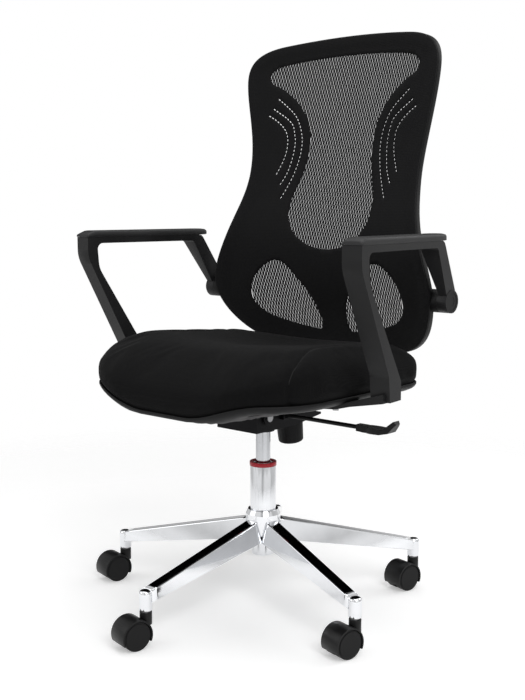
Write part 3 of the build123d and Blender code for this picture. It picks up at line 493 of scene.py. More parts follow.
def slit_holes():
    """Short oblong holes strung along each slit."""
    holes = []
    half = sizes().slit_width / 2
    for slit in SLITS:
        path = smooth_path(slit, False, 0.0016)
        k = 1
        while k + 3 < len(path):
            run = path[k:k + 4]
            left, right = [], []
            for j, (x, z) in enumerate(run):
                ahead = run[min(j + 1, 3)]
                behind = run[max(j - 1, 0)]
                way = Vector((ahead[0] - behind[0], ahead[1] - behind[1])).normalized()
                width = half * (0.55 if j in (0, 3) else 1.0)
                left.append((x - way.y * width, z + way.x * width))
                right.append((x + way.y * width, z - way.x * width))
            hole = left + right[::-1]
            holes += [hole, mirrored(hole)]
            k += 5
    return holes


def inside(point, outline):
    x, z = point
    hit = False
    for (x0, z0), (x1, z1) in zip(outline, outline[1:] + outline[:1]):
        if (z0 > z) != (z1 > z) and x < (x1 - x0) * (z - z0) / (z1 - z0) + x0:
            hit = not hit
    return hit


class BackFace:
    """The mesh face of the back: Y for any half width and height."""

    def __init__(self):
        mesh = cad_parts["back_mesh"].data
        tree = BVHTree.FromPolygons([v.co for v in mesh.vertices],
                                    [p.vertices for p in mesh.polygons])
        self.low, self.high = 0.4905, 1.0850
        self.step = 0.0035
        count = int((self.high - self.low) / self.step)
        self.heights = [self.low + (self.high - self.low) * k / count for k in range(count + 1)]
        self.middle = [self.ray(tree, 0.0013, z) for z in self.heights]
        side = self.ray(tree, 0.150, 0.60)
        sag = self.at_middle(0.60) - side
        self.radius = (0.150 ** 2 + sag ** 2) / (2 * sag)

    @staticmethod
    def ray(tree, x, z):
        hit = tree.ray_cast(Vector((x, -1.0, z)), Vector((0, 1, 0)))
        if hit[0] is None:
            raise RuntimeError(f"the mesh face has no point at {x:.3f}, {z:.3f}")
        return hit[0].y

    def at_middle(self, z):
        place = (z - self.low) / (self.high - self.low) * (len(self.heights) - 1)
        k = max(0, min(len(self.heights) - 2, int(place)))
        t = place - k
        return self.middle[k] + (self.middle[k + 1] - self.middle[k]) * t

    def y(self, x, z):
        bow = self.radius - sqrt(self.radius ** 2 - x * x)
        return self.at_middle(z) - bow


def point_tree(points):
    tree = KDTree(len(points))
    for k, (x, z) in enumerate(points):
        tree.insert((x, z, 0.0), k)
    tree.balance()
    return tree


def edge_distance(points, outline):
    """Distance of each point from the outline, by a tree of its points."""
    dense = []
    for (x0, z0), (x1, z1) in zip(outline, outline[1:] + outline[:1]):
        parts = max(1, int(hypot(x1 - x0, z1 - z0) / 0.001))
        dense += [(x0 + (x1 - x0) * k / parts, z0 + (z1 - z0) * k / parts) for k in range(parts)]
    tree = point_tree(dense)
    return [tree.find((x, z, 0.0))[2] for x, z in points]


def close_cloth(face):
    """The close-woven cloth: a doubly curved sheet with windows and slits cut out."""
    s = sizes()
    outer = back_outline(-0.0006)
    holes = windows() + slit_holes()
    loops = [outer] + holes
    points, edges = [], []
    for loop in loops:
        start = len(points)
        points += loop
        edges += [(start + k, start + (k + 1) % len(loop)) for k in range(len(loop))]
    for inset in (0.0015, 0.0035, 0.008, 0.013, 0.018, 0.024, 0.031):
        points += back_outline(inset)
    grid = 0.0075
    tree = point_tree(points)
    rim = back_outline(0.034)
    row = 0
    z = SILL[1]
    while z < CROWN[1]:
        x = -0.28 + (grid / 2 if row % 2 else 0.0)
        while x < 0.28:
            near = tree.find((x, z, 0.0))[2]
            if near > grid * 0.55 and inside((x, z), rim):
                points.append((x, z))
            x += grid
        z += grid * 0.87
        row += 1
    result = delaunay_2d_cdt([Vector(p) for p in points], edges, [], 0, 1e-7)
    flat, triangles = result[0], result[2]
    kept = []
    for triangle in triangles:
        centre = sum((flat[k] for k in triangle), Vector((0, 0))) / 3
        if inside(centre, outer) and not any(
                abs(centre.x - hole[0][0]) < 0.4 and inside(centre, hole) for hole in holes):
            kept.append(tuple(triangle))
    distances = edge_distance([tuple(p) for p in flat], outer)
    vertices = []
    for p, distance in zip(flat, distances):
        lift = s.frame_lift * (1.0 - ease(distance, 0.012, 0.034))
        roll = 0.0035
        if distance < roll:
            lift -= roll - sqrt(roll * roll - (roll - distance) ** 2)
        vertices.append((p.x, face.y(p.x, p.y) - lift, p.y))
    return vertices, kept


def column_spans(outline, x):
    """Heights at which the upright line at x enters and leaves an outline."""
    cuts = []
    for (x0, z0), (x1, z1) in zip(outline, outline[1:] + outline[:1]):
        if (x0 > x) != (x1 > x):
            cuts.append(z0 + (z1 - z0) * (x - x0) / (x1 - x0))
    cuts.sort()
    return list(zip(cuts[::2], cuts[1::2]))


def strands(face):
    """The open mesh: upright strands that swing towards and away from their neighbours."""
    s = sizes()
    vertices, faces = [], []
    count = int(0.20 / s.strand_pitch)
    step = s.strand_wave_length / 8
    for outline in windows():
        for k in range(-count, count + 1):
            x = (k + 0.5) * s.strand_pitch
            for low, high in column_spans(outline, x):
                low -= 0.0025
                high += 0.0025
                parts = max(2, int((high - low) / step))
                first = len(vertices)
                for j in range(parts + 1):
                    z = low + (high - low) * j / parts
                    drift = 0.12 * sin(z * 61.0 + x * 37.0) + 0.08 * sin(z * 143.0 - x * 91.0)
                    swing = s.strand_wave * cos(
                        tau * z / s.strand_wave_length + pi * k + 2.4 * drift + x * 14.0)
                    for side, depth in ((-1, 0), (0, -1), (1, 0), (0, 1)):
                        px = x + swing + side * s.strand_width / 2
                        y = face.y(px, z) + 0.0005 + depth * s.strand_thickness / 2
                        vertices.append((px, y, z))
                for j in range(parts):
                    a = first + 4 * j
                    for n in range(4):
                        m = (n + 1) % 4
                        faces.append((a + n, a + m, a + 4 + m, a + 4 + n))
                faces.append((first + 3, first + 2, first + 1, first))
                last = first + 4 * parts
                faces.append((last, last + 1, last + 2, last + 3))
    return vertices, faces


class CHAIR_OT_back_fabric(bpy.types.Operator):
    """Stretches the mesh cloth over the back frame, with its windows and slits"""
    bl_idname = "chair.back_fabric"
    bl_label = "Back mesh cloth"

    def execute(self, context):
        s = sizes()
        face = BackFace()
        vertices, triangles = close_cloth(face)
        sheet = new_object("back_fabric", vertices, triangles, "mesh_fabric", None)
        shape = bmesh.new()
        shape.from_mesh(sheet.data)
        for f in shape.faces:
            if f.normal.y > 0:
                f.normal_flip()
        shape.to_mesh(sheet.data)
        shape.free()
        thick = sheet.modifiers.new("thickness", "SOLIDIFY")
        thick.thickness = s.cloth_thickness
        thick.offset = -1.0
        thick.use_rim = True
        context.view_layer.update()
        solved = sheet.evaluated_get(context.evaluated_depsgraph_get())
        solid = bpy.data.meshes.new_from_object(solved)
        sheet.modifiers.clear()
        shape = bmesh.new()
        shape.from_mesh(solid)
        more, quads = strands(face)
        added = [shape.verts.new(v) for v in more]
        for quad in quads:
            f = shape.faces.new([added[k] for k in quad])
            f.material_index = 1
            f.smooth = True
        bmesh.ops.recalc_face_normals(shape, faces=[f for f in shape.faces if f.material_index == 1])
        shape.to_mesh(sheet.data)
        shape.free()
        sheet.data.materials.append(finishes()["strand_yarn"])
        bpy.data.meshes.remove(solid)
        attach(sheet, "back")
        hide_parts("back_mesh")
        return {"FINISHED"}


class CHAIR_OT_back_frame(bpy.types.Operator):
    """Finishes the back frame, its pivot cups and springs"""
    bl_idname = "chair.back_frame"
    bl_label = "Back frame"

    def execute(self, context):
        finish_node("back_frame", "frame_plastic", 0.0022)
        for side in ("left", "right"):
            finish_node(f"{side}_pivot_cup", "frame_plastic", 0.0012)
            finish_node(f"{side}_torsion_spring", "steel")
        finish_node("pivot_pins", "steel")
        return {"FINISHED"}


# ---------------------------------------------------------------- seat

RIM_HEIGHT = 0.436
RIM_DIP = 0.032
# inset from the seat's outline, drop below the rim
CUSHION_SKIRT = ((0.040, 0.014), (0.028, 0.0095), (0.0195, 0.0040))
# the shell's belly, from its flat middle out to the rim, then over the lip and down inside
SHELL_BELLY = ((0.130, 0.060), (0.117, 0.0352), (0.100, 0.0290), (0.081, 0.0232),
               (0.062, 0.0205), (0.044, 0.0180), (0.028, 0.0150), (0.0185, 0.0108),
               (0.0138, 0.0070), (0.0118, 0.0035), (0.0115, 0.0006))
SHELL_LIP = ((0.0122, -0.0004), (0.0146, -0.0002), (0.0156, 0.0010), (0.0184, 0.0052),
             (0.0260, 0.0095), (0.0440, 0.0130), (0.0810, 0.0190), (0.1170, 0.0300))
# lowest height of the shell's under side and of its inside
SHELL_UNDER = 0.3972
SHELL_INSIDE = SHELL_UNDER + 0.003


def seat_loop(inset, arc=12, straight=10):
    """Plan outline of the seat (x, y), starting at the middle of the front edge."""
    s = sizes()
    half = s.seat_width / 2 - inset
    front, rear = s.seat_front + inset, s.seat_rear - inset
    r1 = max(0.008, s.front_corner - inset)
    r2 = max(0.008, s.rear_corner - inset)
    points = []

    def line(a, b, count):
        for k in range(count):
            t = k / count
            points.append((a[0] + (b[0] - a[0]) * t, a[1] + (b[1] - a[1]) * t))

    def corner(cx, cy, radius, start):
        for k in range(arc):
            angle = radians(start + 90.0 * k / arc)
            points.append((cx + radius * cos(angle), cy + radius * sin(angle)))

    line((0, front), (half - r1, front), straight)
    corner(half - r1, front + r1, r1, -90)
    line((half, front + r1), (half, rear - r2), straight * 2)
    corner(half - r2, rear - r2, r2, 0)
    line((half - r2, rear), (-half + r2, rear), straight * 2)
    corner(-half + r2, rear - r2, r2, 90)
    line((-half, rear - r2), (-half, front + r1), straight * 2)
    corner(-half + r1, front + r1, r1, 180)
    line((-half + r1, front), (0, front), straight)
    return points


def frontness(x, y):
    """0 along the sides, 1 at the middle of the seat's front edge."""
    front = sizes().seat_front
    return (1.0 - ease(y, front + 0.004, front + 0.150)) * (1.0 - ease(abs(x), 0.050, 0.215))


def shell_rim(x, y):
    """Height of the shell's rim, which dips under the front of the seat."""
    return RIM_HEIGHT - RIM_DIP * frontness(x, y)


def seat_surface(x, y):
    """Height of the cushion's upper face before its edges are rounded."""
    s = sizes()
    back_slope = 0.022 * max(0.0, (y + 0.110) / (s.seat_rear + 0.110)) ** 1.35
    dish = 0.020 * exp(-(x / 0.125) ** 2) * ease(y, -0.22, 0.02) * (1.0 - ease(y, 0.06, 0.185))
    fall = max(0.0, (-0.095 - y) / (-0.095 - s.seat_front))
    return s.seat_top - back_slope - dish - 0.046 * fall ** 2.2


def cushion_rings(shrink):
    """Rings of the cushion from its lower edge, over the side, to the middle of the top."""
    outer = seat_loop(0.0)
    rings = []
    for inset, drop in CUSHION_SKIRT:
        rings.append([(x, y, shell_rim(*o) - drop) for (x, y), o in zip(seat_loop(inset), outer)])
    steps = 11
    start = radians(-52.0)
    for k in range(1, steps + 1):
        angle = start + (pi / 2 - start) * k / steps
        share = (sin(angle) - sin(start)) / (1.0 - sin(start))
        turn = 1.0 - cos(angle)
        side_inset = turn * (0.055 if angle > 0 else 0.036)
        front_inset = turn * (0.085 if angle > 0 else 0.036)
        ring = []
        for side, front, o in zip(seat_loop(shrink + side_inset),
                                  seat_loop(shrink + front_inset), outer):
            mix = frontness(*o)
            x = side[0] + (front[0] - side[0]) * mix
            y = side[1] + (front[1] - side[1]) * mix
            rim = shell_rim(*o) + 0.0006
            top = seat_surface(x, y) - shrink * 0.7
            ring.append((x, y, rim + (top - rim) * share))
        rings.append(ring)
    middle = (sizes().seat_front + sizes().seat_rear) / 2
    edge = rings[-1]
    for k in range(1, 9):
        t = 1 - k / 9
        ring = []
        for x, y, z in edge:
            px, py = x * t, middle + (y - middle) * t
            ring.append((px, py, seat_surface(px, py) - shrink * 0.7))
        rings.append(ring)
    return rings


def inflate(obj, pinned_below, pressure, cap, frames=20):
    """Swells a padded piece with a short cloth simulation, capped and held at its lower edge."""
    start = [v.co.copy() for v in obj.data.vertices]
    held = obj.vertex_groups.new(name="held")
    for v in obj.data.vertices:
        weight = 1.0 - smooth_step((v.co.z - pinned_below(v.co)) / 0.012)
        if weight > 0.01:
            held.add([v.index], weight, "REPLACE")
    cloth = obj.modifiers.new("swell", "CLOTH")
    settings = cloth.settings
    settings.use_pressure = True
    settings.uniform_pressure_force = pressure
    settings.vertex_group_mass = "held"
    settings.effector_weights.gravity = 0.0
    settings.quality = 6
    settings.tension_stiffness = 40
    settings.compression_stiffness = 40
    cloth.collision_settings.use_collision = False
    cloth.point_cache.frame_end = frames
    scene = bpy.context.scene
    for number in range(1, frames + 1):
        scene.frame_set(number)
    solved = obj.evaluated_get(bpy.context.evaluated_depsgraph_get())
    ends = [v.co.copy() for v in solved.data.vertices]
    obj.modifiers.remove(cloth)
    obj.vertex_groups.remove(held)
    scene.frame_set(1)
    for v, a, b in zip(obj.data.vertices, start, ends):
        move = b - a
        if move.length > cap:
            move *= cap / move.length
        v.co = a + move
    obj.data.update()


def apply_modifiers(obj):
    bpy.context.view_layer.update()
    solved = obj.evaluated_get(bpy.context.evaluated_depsgraph_get())
    mesh = bpy.data.meshes.new_from_object(solved)
    old = obj.data
    obj.modifiers.clear()
    obj.data = mesh
    bpy.data.meshes.remove(old)


class CHAIR_OT_seat_cushion(bpy.types.Operator):
    """Makes the upholstered seat cushion with its side panel seams"""
    bl_idname = "chair.seat_cushion"
    bl_label = "Seat cushion"

    def execute(self, context):
        vertices, faces = loft(cushion_rings(0.004))
        pad = new_object("seat_upholstery", vertices, faces, "seat_fabric", None)
        remesh = pad.modifiers.new("even", "REMESH")
        remesh.mode = "VOXEL"
        remesh.voxel_size = 0.006
        remesh.use_smooth_shade = True
        apply_modifiers(pad)
        relax(pad, 6)
        inflate(pad, lambda co: shell_rim(co.x, co.y) + 0.003, 4.0, 0.006)
        relax(pad, 2)
        finer = pad.modifiers.new("finer", "SUBSURF")
        finer.levels = finer.render_levels = 1
        apply_modifiers(pad)
        press_seams(pad)
        for polygon in pad.data.polygons:
            polygon.use_smooth = True
        pad.data.materials.clear()
        pad.data.materials.append(finishes()["seat_fabric"])
        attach(pad, "seat")
        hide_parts("seat_cushion")
        # dark tubes along the seams: thread plus painted shade of the seams' creases
        add_seam_threads_with_painted_shade(pad)
        return {"FINISHED"}


def relax(obj, rounds):
    shape = bmesh.new()
    shape.from_mesh(obj.data)
    for _ in range(rounds):
        bmesh.ops.smooth_vert(shape, verts=shape.verts, factor=0.5, use_axis_x=True,
                              use_axis_y=True, use_axis_z=True)
    shape.to_mesh(obj.data)
    shape.free()


def seam_paths():
    path = smooth_path(SIDE_SEAM, False, 0.003)
    return [path, [(-x, y) for x, y in path]]


def press_seams(pad):
    """Sinks the cloth a little along each seam."""
    tree = point_tree([p for path in seam_paths() for p in path])
    normals = [v.normal.copy() for v in pad.data.vertices]
    for v, normal in zip(pad.data.vertices, normals):
        if v.co.z < 0.43:
            continue
        gap = tree.find((v.co.x, v.co.y, 0.0))[2]
        if gap < 0.016:
            v.co -= normal * (0.0022 * exp(-(gap / 0.0035) ** 2) + 0.0009 * exp(-(gap / 0.009) ** 2))
    pad.data.update()


def add_seam_threads_with_painted_shade(pad):
    """A fine sunken thread along each seam, darker than the cloth: the thread is real, its darkness is
    painted shade of the seam's crease.
    """
    tree = BVHTree.FromPolygons([v.co for v in pad.data.vertices],
                                [p.vertices for p in pad.data.polygons])
    for side, path in zip(("left", "right"), seam_paths()):
        line = []
        for x, y in path:
            hit = tree.ray_cast(Vector((x, y, 0.60)), Vector((0, 0, -1)))
            if hit[0] is not None and hit[0].z > 0.40:
                line.append(hit[0] - hit[1] * 0.0002)
        # the tube's dark finish is painted shade of the seam's crease
        sweep_tube(f"{side}_seat_seam", line, 0.0009, "seam_thread", "seat", 6)


def sweep_tube(name, line, radius, material, body, sides):
    """A tube of one radius along a line of points."""
    rings = []
    up = Vector((0, 0, 1))
    for k, p in enumerate(line):
        p = Vector(p)
        way = (Vector(line[min(k + 1, len(line) - 1)]) - Vector(line[max(k - 1, 0)])).normalized()
        across = way.cross(up)
        if across.length < 1e-3:
            across = way.cross(Vector((1, 0, 0)))
        across.normalize()
        over = across.cross(way)
        rings.append([p + across * cos(tau * n / sides) * radius
                      + over * sin(tau * n / sides) * radius for n in range(sides)])
    vertices, faces = loft(rings)
    new_object(name, vertices, faces, material, body)


class CHAIR_OT_seat_shell(bpy.types.Operator):
    """Makes the moulded shell under the seat, with a rim that dips at the front"""
    bl_idname = "chair.seat_shell"
    bl_label = "Seat shell"

    def execute(self, context):
        outer = seat_loop(0.0)
        rings = []
        for profile, lowest in ((SHELL_BELLY, SHELL_UNDER), (SHELL_LIP, SHELL_INSIDE)):
            for inset, drop in profile:
                rings.append([(x, y, max(lowest, shell_rim(*o) - drop))
                              for (x, y), o in zip(seat_loop(inset), outer)])
        vertices, faces = loft(rings)
        new_object("seat_pan", vertices, faces, "shell_plastic", "seat", ("seat_shell",))
        return {"FINISHED"}


class CHAIR_OT_seat_inside(bpy.types.Operator):
    """Finishes the board, bolts and tilt plate under the upholstery"""
    bl_idname = "chair.seat_inside"
    bl_label = "Seat board and plate"

    def execute(self, context):
        finish_nodes(
            ("seat_board", "plywood"), ("seat_bolts", "steel", 0.0004),
            ("arm_bolts", "steel", 0.0004), ("tilt_plate", "black_steel", 0.0006))
        return {"FINISHED"}


# ---------------------------------------------------------------- arms

ARM_FRONT = (0.330, -0.163)
ARM_TOE = radians(6.0)
# cross sections of an arm pad: place along the arm, half width, lower and upper height
PAD_STATIONS = [
    (-0.0012, 0.0170, 0.7020, 0.7062), (-0.0012, 0.0186, 0.7014, 0.7070),
    (0.004, 0.0190, 0.7012, 0.7096), (0.013, 0.0190, 0.7012, 0.7134),
    (0.018, 0.0190, 0.7012, 0.7140),
    *((0.018 + 0.252 * k / 12, 0.0190, 0.7012, 0.7140) for k in range(1, 13)),
    (0.282, 0.0187, 0.7012, 0.7140), (0.294, 0.0180, 0.7014, 0.7138),
    (0.301, 0.0168, 0.7020, 0.7130), (0.3045, 0.0150, 0.7032, 0.7112),
    (0.3050, 0.0140, 0.7045, 0.7098)]
PAD_CROWN = 0.0012


def toed_in(point):
    x, y, z = point
    return (ARM_FRONT[0] + x * cos(ARM_TOE) - y * sin(ARM_TOE),
            ARM_FRONT[1] + x * sin(ARM_TOE) + y * cos(ARM_TOE), z)


def pad_section(half, low, top, rise, count=20):
    """One cross section of an arm pad: flat below, rounded shoulders and a low crown."""
    points = []
    height = top - low
    for k in range(count + 1):
        angle = pi * k / count
        x = copysign(abs(cos(angle)) ** 0.42, cos(angle)) * half
        z = low + (height - rise) * (sin(angle) ** 0.36) + rise * sin(angle)
        points.append((x, z))
    return points


class CHAIR_OT_arms(bpy.types.Operator):
    """Finishes the loop arms and makes their pads"""
    bl_idname = "chair.arms"
    bl_label = "Arms and pads"

    def execute(self, context):
        for side, sign in (("left", 1), ("right", -1)):
            finish_node(f"{side}_arm", "arm_plastic", 0.0050)
            rings = []
            for along, half, low, top in PAD_STATIONS:
                ring = []
                for x, z in pad_section(half, low, top, PAD_CROWN):
                    px, py, pz = toed_in((x, along, z))
                    ring.append((sign * px, py, pz))
                rings.append(ring)
            vertices, faces = loft(rings)
            new_object(f"{side}_rest_pad", vertices, faces, "pad_plastic", "seat",
                       (f"{side}_arm_pad",))
        finish_node("pivot_caps", "arm_plastic", 0.0006)
        return {"FINISHED"}


# ---------------------------------------------------------------- mechanism, lever and knob


class CHAIR_OT_mechanism(bpy.types.Operator):
    """Finishes the tilt mechanism"""
    bl_idname = "chair.mechanism"
    bl_label = "Tilt mechanism"

    def execute(self, context):
        finish_nodes(
            ("mechanism_housing", "black_steel", 0.0015), ("tilt_axle", "steel", 0.0006),
            ("spring_seat", "steel", 0.0004))
        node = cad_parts["tilt_spring"]
        coil = new_object("tilt_coil", [node.matrix_world @ v.co for v in node.data.vertices],
                          [tuple(p.vertices) for p in node.data.polygons], "steel", "mechanism",
                          ("tilt_spring",))
        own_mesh(coil)
        finish_nodes(
            ("tension_bolt", "steel"), ("lock_slider", "black_steel", 0.0006),
            ("lever_pin", "steel"), ("valve_pin", "steel"), ("lever_rod", "lever_plastic", 0.0004),
            ("lever_paddle", "lever_plastic", 0.0018), ("tension_knob", "knob_plastic", 0.0012))
        return {"FINISHED"}


# ---------------------------------------------------------------- base and casters

# profiles turned about a vertical axis: radius, height
HUB_PROFILE = [
    (0.0215, 0.1220), (0.0334, 0.1220), (0.0340, 0.1226), (0.0340, 0.1714), (0.0337, 0.1722),
    (0.0296, 0.1804), (0.0288, 0.1810), (0.0228, 0.1810), (0.0222, 0.1804), (0.0215, 0.1220)]
SOCKET_PROFILE = [
    (0.0004, 0.0992), (0.0062, 0.0991), (0.0084, 0.0986), (0.0102, 0.0975), (0.0113, 0.0960),
    (0.0119, 0.0940), (0.0120, 0.0920), (0.0120, 0.0640), (0.0115, 0.0632), (0.0086, 0.0630),
    (0.0078, 0.0636), (0.0076, 0.0900)]
SOCKET_REACH = 0.310
LEG_ROOT = 0.024
LEG_RUN = 0.286
LEG_STEPS = 20


def leg_loop(t):
    """Closed section (y, z) of a leg at share t of its length: a channel, open below."""
    top = 0.1630 - 0.0650 * t
    depth = 0.0410 - 0.0200 * t
    half_top = 0.0122 - 0.0018 * t
    half_foot = 0.0225 - 0.0098 * t
    side = [(half_top - 0.0016, top)]
    for k in range(1, 7):
        angle = radians(12.0 * k)
        side.append((half_top - 0.0016 + 0.0030 * sin(angle), top - 0.0034 * (1 - cos(angle))))
    side += [(half_foot, top - depth + 0.0007), (half_foot - 0.0005, top - depth),
             (half_foot - 0.0022, top - depth), (half_foot - 0.0028, top - depth + 0.0008),
             (half_top - 0.0010, top - 0.0080), (half_top - 0.0040, top - 0.0046)]
    return side + [(-y, z) for y, z in reversed(side)]


def turned(profile, count=64):
    """Rings (x, y, z) of a profile (radius, height) turned about Z."""
    return [[(r * cos(tau * k / count), r * sin(tau * k / count), z)
             for k in range(count)] for r, z in profile]


def moved(rings, along, angle):
    """Rings pushed out along X and swung about Z."""
    c, s = cos(angle), sin(angle)
    return [[((x + along) * c - y * s, (x + along) * s + y * c, z) for x, y, z in ring]
            for ring in rings]


def star_frame():
    """Hub, five channel legs and their end sockets as one cast frame."""
    vertices, faces = [], []

    def join(rings, closed_ends=True):
        more, shapes = loft(rings, closed_ends)
        faces.extend(tuple(i + len(vertices) for i in shape) for shape in shapes)
        vertices.extend(more)

    join(turned(HUB_PROFILE), False)
    for number in range(5):
        angle = radians(270 + 72 * number)
        join(moved(turned(SOCKET_PROFILE, 32), SOCKET_REACH, angle))
        sections = []
        for k in range(LEG_STEPS + 1):
            t = k / LEG_STEPS * 0.985
            sections.append([(LEG_RUN * t, y, z) for y, z in leg_loop(t)])
        join(moved(sections, LEG_ROOT, angle))
    return vertices, faces


class CHAIR_OT_base(bpy.types.Operator):
    """Finishes the chrome star base and the gas column"""
    bl_idname = "chair.base"
    bl_label = "Star base and column"

    def execute(self, context):
        vertices, faces = star_frame()
        star = new_object("star_frame", vertices, faces, "chrome", "base", ("star_base",))
        star.modifiers.new("flats", "WEIGHTED_NORMAL").weight = 90
        finish_nodes(
            ("stem_sleeves", "bush_plastic"), ("caster_stems", "steel"),
            ("column_tube", "chrome_column", 0.0006), ("red_ring", "red_plastic", 0.0008),
            ("guide_bush", "bush_plastic"), ("thrust_bearing", "steel"),
            ("bearing_washer", "steel"), ("rod_clip", "steel"), ("gas_rod", "steel"),
            ("gas_cylinder", "chrome_rod"))
        return {"FINISHED"}


class CHAIR_OT_casters(bpy.types.Operator):
    """Finishes the five twin-wheel casters"""
    bl_idname = "chair.casters"
    bl_label = "Casters"

    def execute(self, context):
        for number in range(1, 6):
            finish_node(f"caster_{number}_hood", "caster_plastic", 0.0012)
            finish_node(f"caster_{number}_axle", "steel")
            for side in ("left", "right"):
                finish_node(f"caster_{number}_wheel_{side}", "wheel_plastic", 0.0010)
        return {"FINISHED"}


# ---------------------------------------------------------------- stage

VIEW_ANGLE = radians(41.4)
VIEW_LIFT = radians(7.6)
VIEW_TARGET = Vector((0.0, 0.0, 0.4897))
VIEW_DISTANCE = 2.0819
VIEW_LENS = 37.438
VIEW_SHIFT = -0.00086


def area_light(name, place, target, size, power):
    data = bpy.data.lights.new(name, "AREA")
    data.shape = "RECTANGLE"
    data.size, data.size_y = size
    data.energy = power
    light = bpy.data.objects.new(name, data)
    bpy.context.scene.collection.objects.link(light)
    light.location = place
    light.rotation_euler = (Vector(target) - Vector(place)).to_track_quat("-Z", "Y").to_euler()


def ramp_of(tree, value, stops):
    ramp = tree.nodes.new("ShaderNodeValToRGB")
    tree.links.new(value, ramp.inputs["Fac"])
    ends = ramp.color_ramp.elements
    for end, (position, level) in zip(ends, (stops[0], stops[-1])):
        end.position, end.color = position, (level, level, level, 1)
    for position, level in stops[1:-1]:
        stop = ends.new(position)
        stop.color = (level, level, level, 1)
    return ramp.outputs["Color"]


def studio_world():
    """White backdrop for the eye, even soft light, and a studio of bright and dark panels for gloss."""
    world = bpy.data.worlds.new("studio")
    bpy.context.scene.world = world
    world.use_nodes = True
    tree = world.node_tree
    tree.nodes.clear()
    out = tree.nodes.new("ShaderNodeOutputWorld")
    backdrop = add(tree, "ShaderNodeBackground", Color=(1, 1, 1, 1), Strength=1.0)
    soft = add(tree, "ShaderNodeBackground", Color=(1, 1, 1, 1), Strength=0.30)
    panels = add(tree, "ShaderNodeBackground", Color=(1, 1, 1, 1))
    way = tree.nodes.new("ShaderNodeTexCoord").outputs["Generated"]
    split = tree.nodes.new("ShaderNodeSeparateXYZ")
    tree.links.new(way, split.inputs["Vector"])
    up = spread(tree, split.outputs["Z"], 0.0, 1.0, -1.0, 1.0)
    turn = add(tree, "ShaderNodeMath", operation="ARCTAN2")
    tree.links.new(split.outputs["Y"], turn.inputs[0])
    tree.links.new(split.outputs["X"], turn.inputs[1])
    around = spread(tree, turn.outputs["Value"], 0.0, 1.0, -pi, pi)
    # brightness by height, a dark flag hung behind one shoulder, and soft upright edges all round
    by_height = ramp_of(tree, up, [(0.0, 0.70), (0.42, 0.86), (0.49, 0.95), (0.52, 0.62), (0.56, 0.98),
                                   (0.70, 0.80), (0.86, 0.9), (1.0, 1.0)])
    flag_height = ramp_of(tree, up, [(0.0, 0.0), (0.555, 0.0), (0.585, 1.0), (0.84, 1.0), (0.90, 0.0),
                                     (1.0, 0.0)])
    flag_turn = ramp_of(tree, around, [(0.0, 0.0), (0.770, 0.0), (0.790, 1.0), (0.945, 1.0),
                                       (0.965, 0.0), (1.0, 0.0)])
    edges = ramp_of(tree, around, [(0.0, 0.72), (0.07, 0.70), (0.10, 0.95), (0.30, 1.0), (0.345, 0.50),
                                   (0.39, 1.0), (0.54, 1.0), (0.575, 0.62), (0.60, 0.72), (0.69, 0.74),
                                   (0.73, 0.98), (0.80, 0.92), (0.88, 0.62), (0.94, 0.72), (1.0, 0.72)])
    flag = combine(tree, flag_height, flag_turn, "MULTIPLY")
    lit = add(tree, "ShaderNodeMath", operation="SUBTRACT")
    lit.inputs[0].default_value = 1.0
    tree.links.new(flag, lit.inputs[1])
    level = combine(tree, combine(tree, by_height, edges, "MULTIPLY"), lit.outputs["Value"], "MULTIPLY")
    tree.links.new(level, panels.inputs["Strength"])
    path = tree.nodes.new("ShaderNodeLightPath")
    gloss = tree.nodes.new("ShaderNodeMixShader")
    tree.links.new(path.outputs["Is Glossy Ray"], gloss.inputs["Fac"])
    tree.links.new(soft.outputs["Background"], gloss.inputs[1])
    tree.links.new(panels.outputs["Background"], gloss.inputs[2])
    mix = tree.nodes.new("ShaderNodeMixShader")
    tree.links.new(path.outputs["Is Camera Ray"], mix.inputs["Fac"])
    tree.links.new(gloss.outputs["Shader"], mix.inputs[1])
    tree.links.new(backdrop.outputs["Background"], mix.inputs[2])
    tree.links.new(mix.outputs["Shader"], out.inputs["Surface"])


def studio_floor():
    """A pale floor that fades out into the backdrop."""
    vertices, faces = [(0, 0, 0)], []
    rings, sides = (0.5, 1.0, 1.6, 2.4, 3.4), 72
    for radius in rings:
        for k in range(sides):
            angle = tau * k / sides
            vertices.append((radius * cos(angle), radius * sin(angle), 0.0))
    for k in range(sides):
        faces.append((0, 1 + k, 1 + (k + 1) % sides))
    for r in range(len(rings) - 1):
        for k in range(sides):
            a, b = 1 + r * sides + k, 1 + r * sides + (k + 1) % sides
            faces.append((a, a + sides, b + sides, b))
    material, tree, shader, place = new_material("studio_floor")
    c = colours().floor[:]
    dust = noise(tree, place, 3.0, 3.0)
    paint(tree, shader, dust, shade(c, 0.995), c)
    shader.inputs["Roughness"].default_value = 0.75
    shader.inputs["Specular IOR Level"].default_value = 0.25
    reach = add(tree, "ShaderNodeVectorMath", operation="LENGTH")
    tree.links.new(place, reach.inputs[0])
    fade = spread(tree, reach.outputs["Value"], 1.0, 0.0, 0.8, 1.7)
    tree.links.new(fade, shader.inputs["Alpha"])
    shader.inputs["Emission Color"].default_value = (1, 1, 1, 1)
    shader.inputs["Emission Strength"].default_value = 0.35
    mesh = bpy.data.meshes.new("studio_floor")
    mesh.from_pydata(vertices, [], faces)
    floor = bpy.data.objects.new("studio_floor", mesh)
    bpy.context.scene.collection.objects.link(floor)
    mesh.materials.append(material)
    floor.location.z = -0.0002


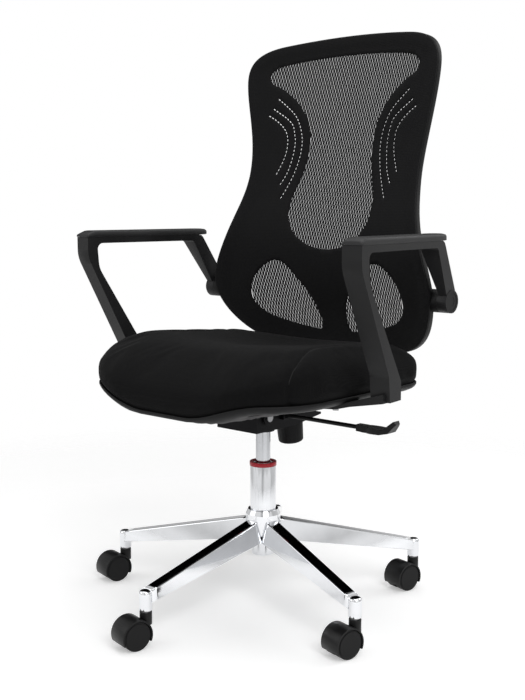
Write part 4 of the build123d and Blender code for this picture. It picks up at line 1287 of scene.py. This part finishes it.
class CHAIR_OT_stage(bpy.types.Operator):
    """Sets up the camera, the floor, the soft lights and the backdrop"""
    bl_idname = "chair.stage"
    bl_label = "Studio stage"

    def execute(self, context):
        scene = context.scene
        data = bpy.data.cameras.new("view")
        data.sensor_fit = "VERTICAL"
        data.sensor_height = 24.0
        data.lens = VIEW_LENS
        data.shift_x = VIEW_SHIFT
        data.clip_end = 50.0
        camera = bpy.data.objects.new("view", data)
        scene.collection.objects.link(camera)
        away = Vector((sin(VIEW_ANGLE) * cos(VIEW_LIFT),
                       -cos(VIEW_ANGLE) * cos(VIEW_LIFT), sin(VIEW_LIFT)))
        camera.location = VIEW_TARGET + away * VIEW_DISTANCE
        camera.rotation_euler = (-away).to_track_quat("-Z", "Y").to_euler()
        scene.camera = camera
        scene.view_settings.view_transform = "Standard"
        studio_world()
        studio_floor()
        area_light("key", (1.9, -1.0, 1.9), (0, 0, 0.5), (1.4, 1.4), 30.0)
        area_light("fill", (-1.6, -1.8, 1.6), (0, 0, 0.5), (1.8, 1.8), 10.0)
        area_light("top", (0.0, 0.2, 2.7), (0, 0, 0.4), (2.2, 2.2), 26.0)
        area_light("rear", (0.9, 2.1, 1.9), (0, 0, 0.5), (1.6, 1.2), 9.0)
        return {"FINISHED"}


# ---------------------------------------------------------------- panel and running order

OPERATORS = (CHAIR_OT_stage, CHAIR_OT_base, CHAIR_OT_casters, CHAIR_OT_mechanism,
             CHAIR_OT_seat_inside, CHAIR_OT_seat_shell, CHAIR_OT_seat_cushion, CHAIR_OT_arms,
             CHAIR_OT_back_frame, CHAIR_OT_back_fabric)


class CHAIR_PT_panel(bpy.types.Panel):
    """Lists the pieces of the chair"""
    bl_idname = "CHAIR_PT_panel"
    bl_label = "Office chair"
    bl_space_type = "VIEW_3D"
    bl_region_type = "UI"
    bl_category = "Chair"

    def draw(self, context):
        layout = self.layout
        for operator in OPERATORS:
            layout.operator(operator.bl_idname)
        for group in (context.scene.chair_sizes, context.scene.chair_colours):
            box = layout.box()
            for name in group.bl_rna.properties.keys():
                if name not in ("rna_type", "name"):
                    box.prop(group, name)


CLASSES = (ChairSizes, ChairColours, *OPERATORS, CHAIR_PT_panel)


def register():
    for cls in CLASSES:
        bpy.utils.register_class(cls)
    bpy.types.Scene.chair_sizes = bpy.props.PointerProperty(type=ChairSizes)
    bpy.types.Scene.chair_colours = bpy.props.PointerProperty(type=ChairColours)


def unregister():
    del bpy.types.Scene.chair_colours
    del bpy.types.Scene.chair_sizes
    for cls in reversed(CLASSES):
        bpy.utils.unregister_class(cls)


def main():
    register()
    for operator in OPERATORS:
        group, name = operator.bl_idname.split(".")
        getattr(getattr(bpy.ops, group), name)()


if __name__ == "__main__":
    main()
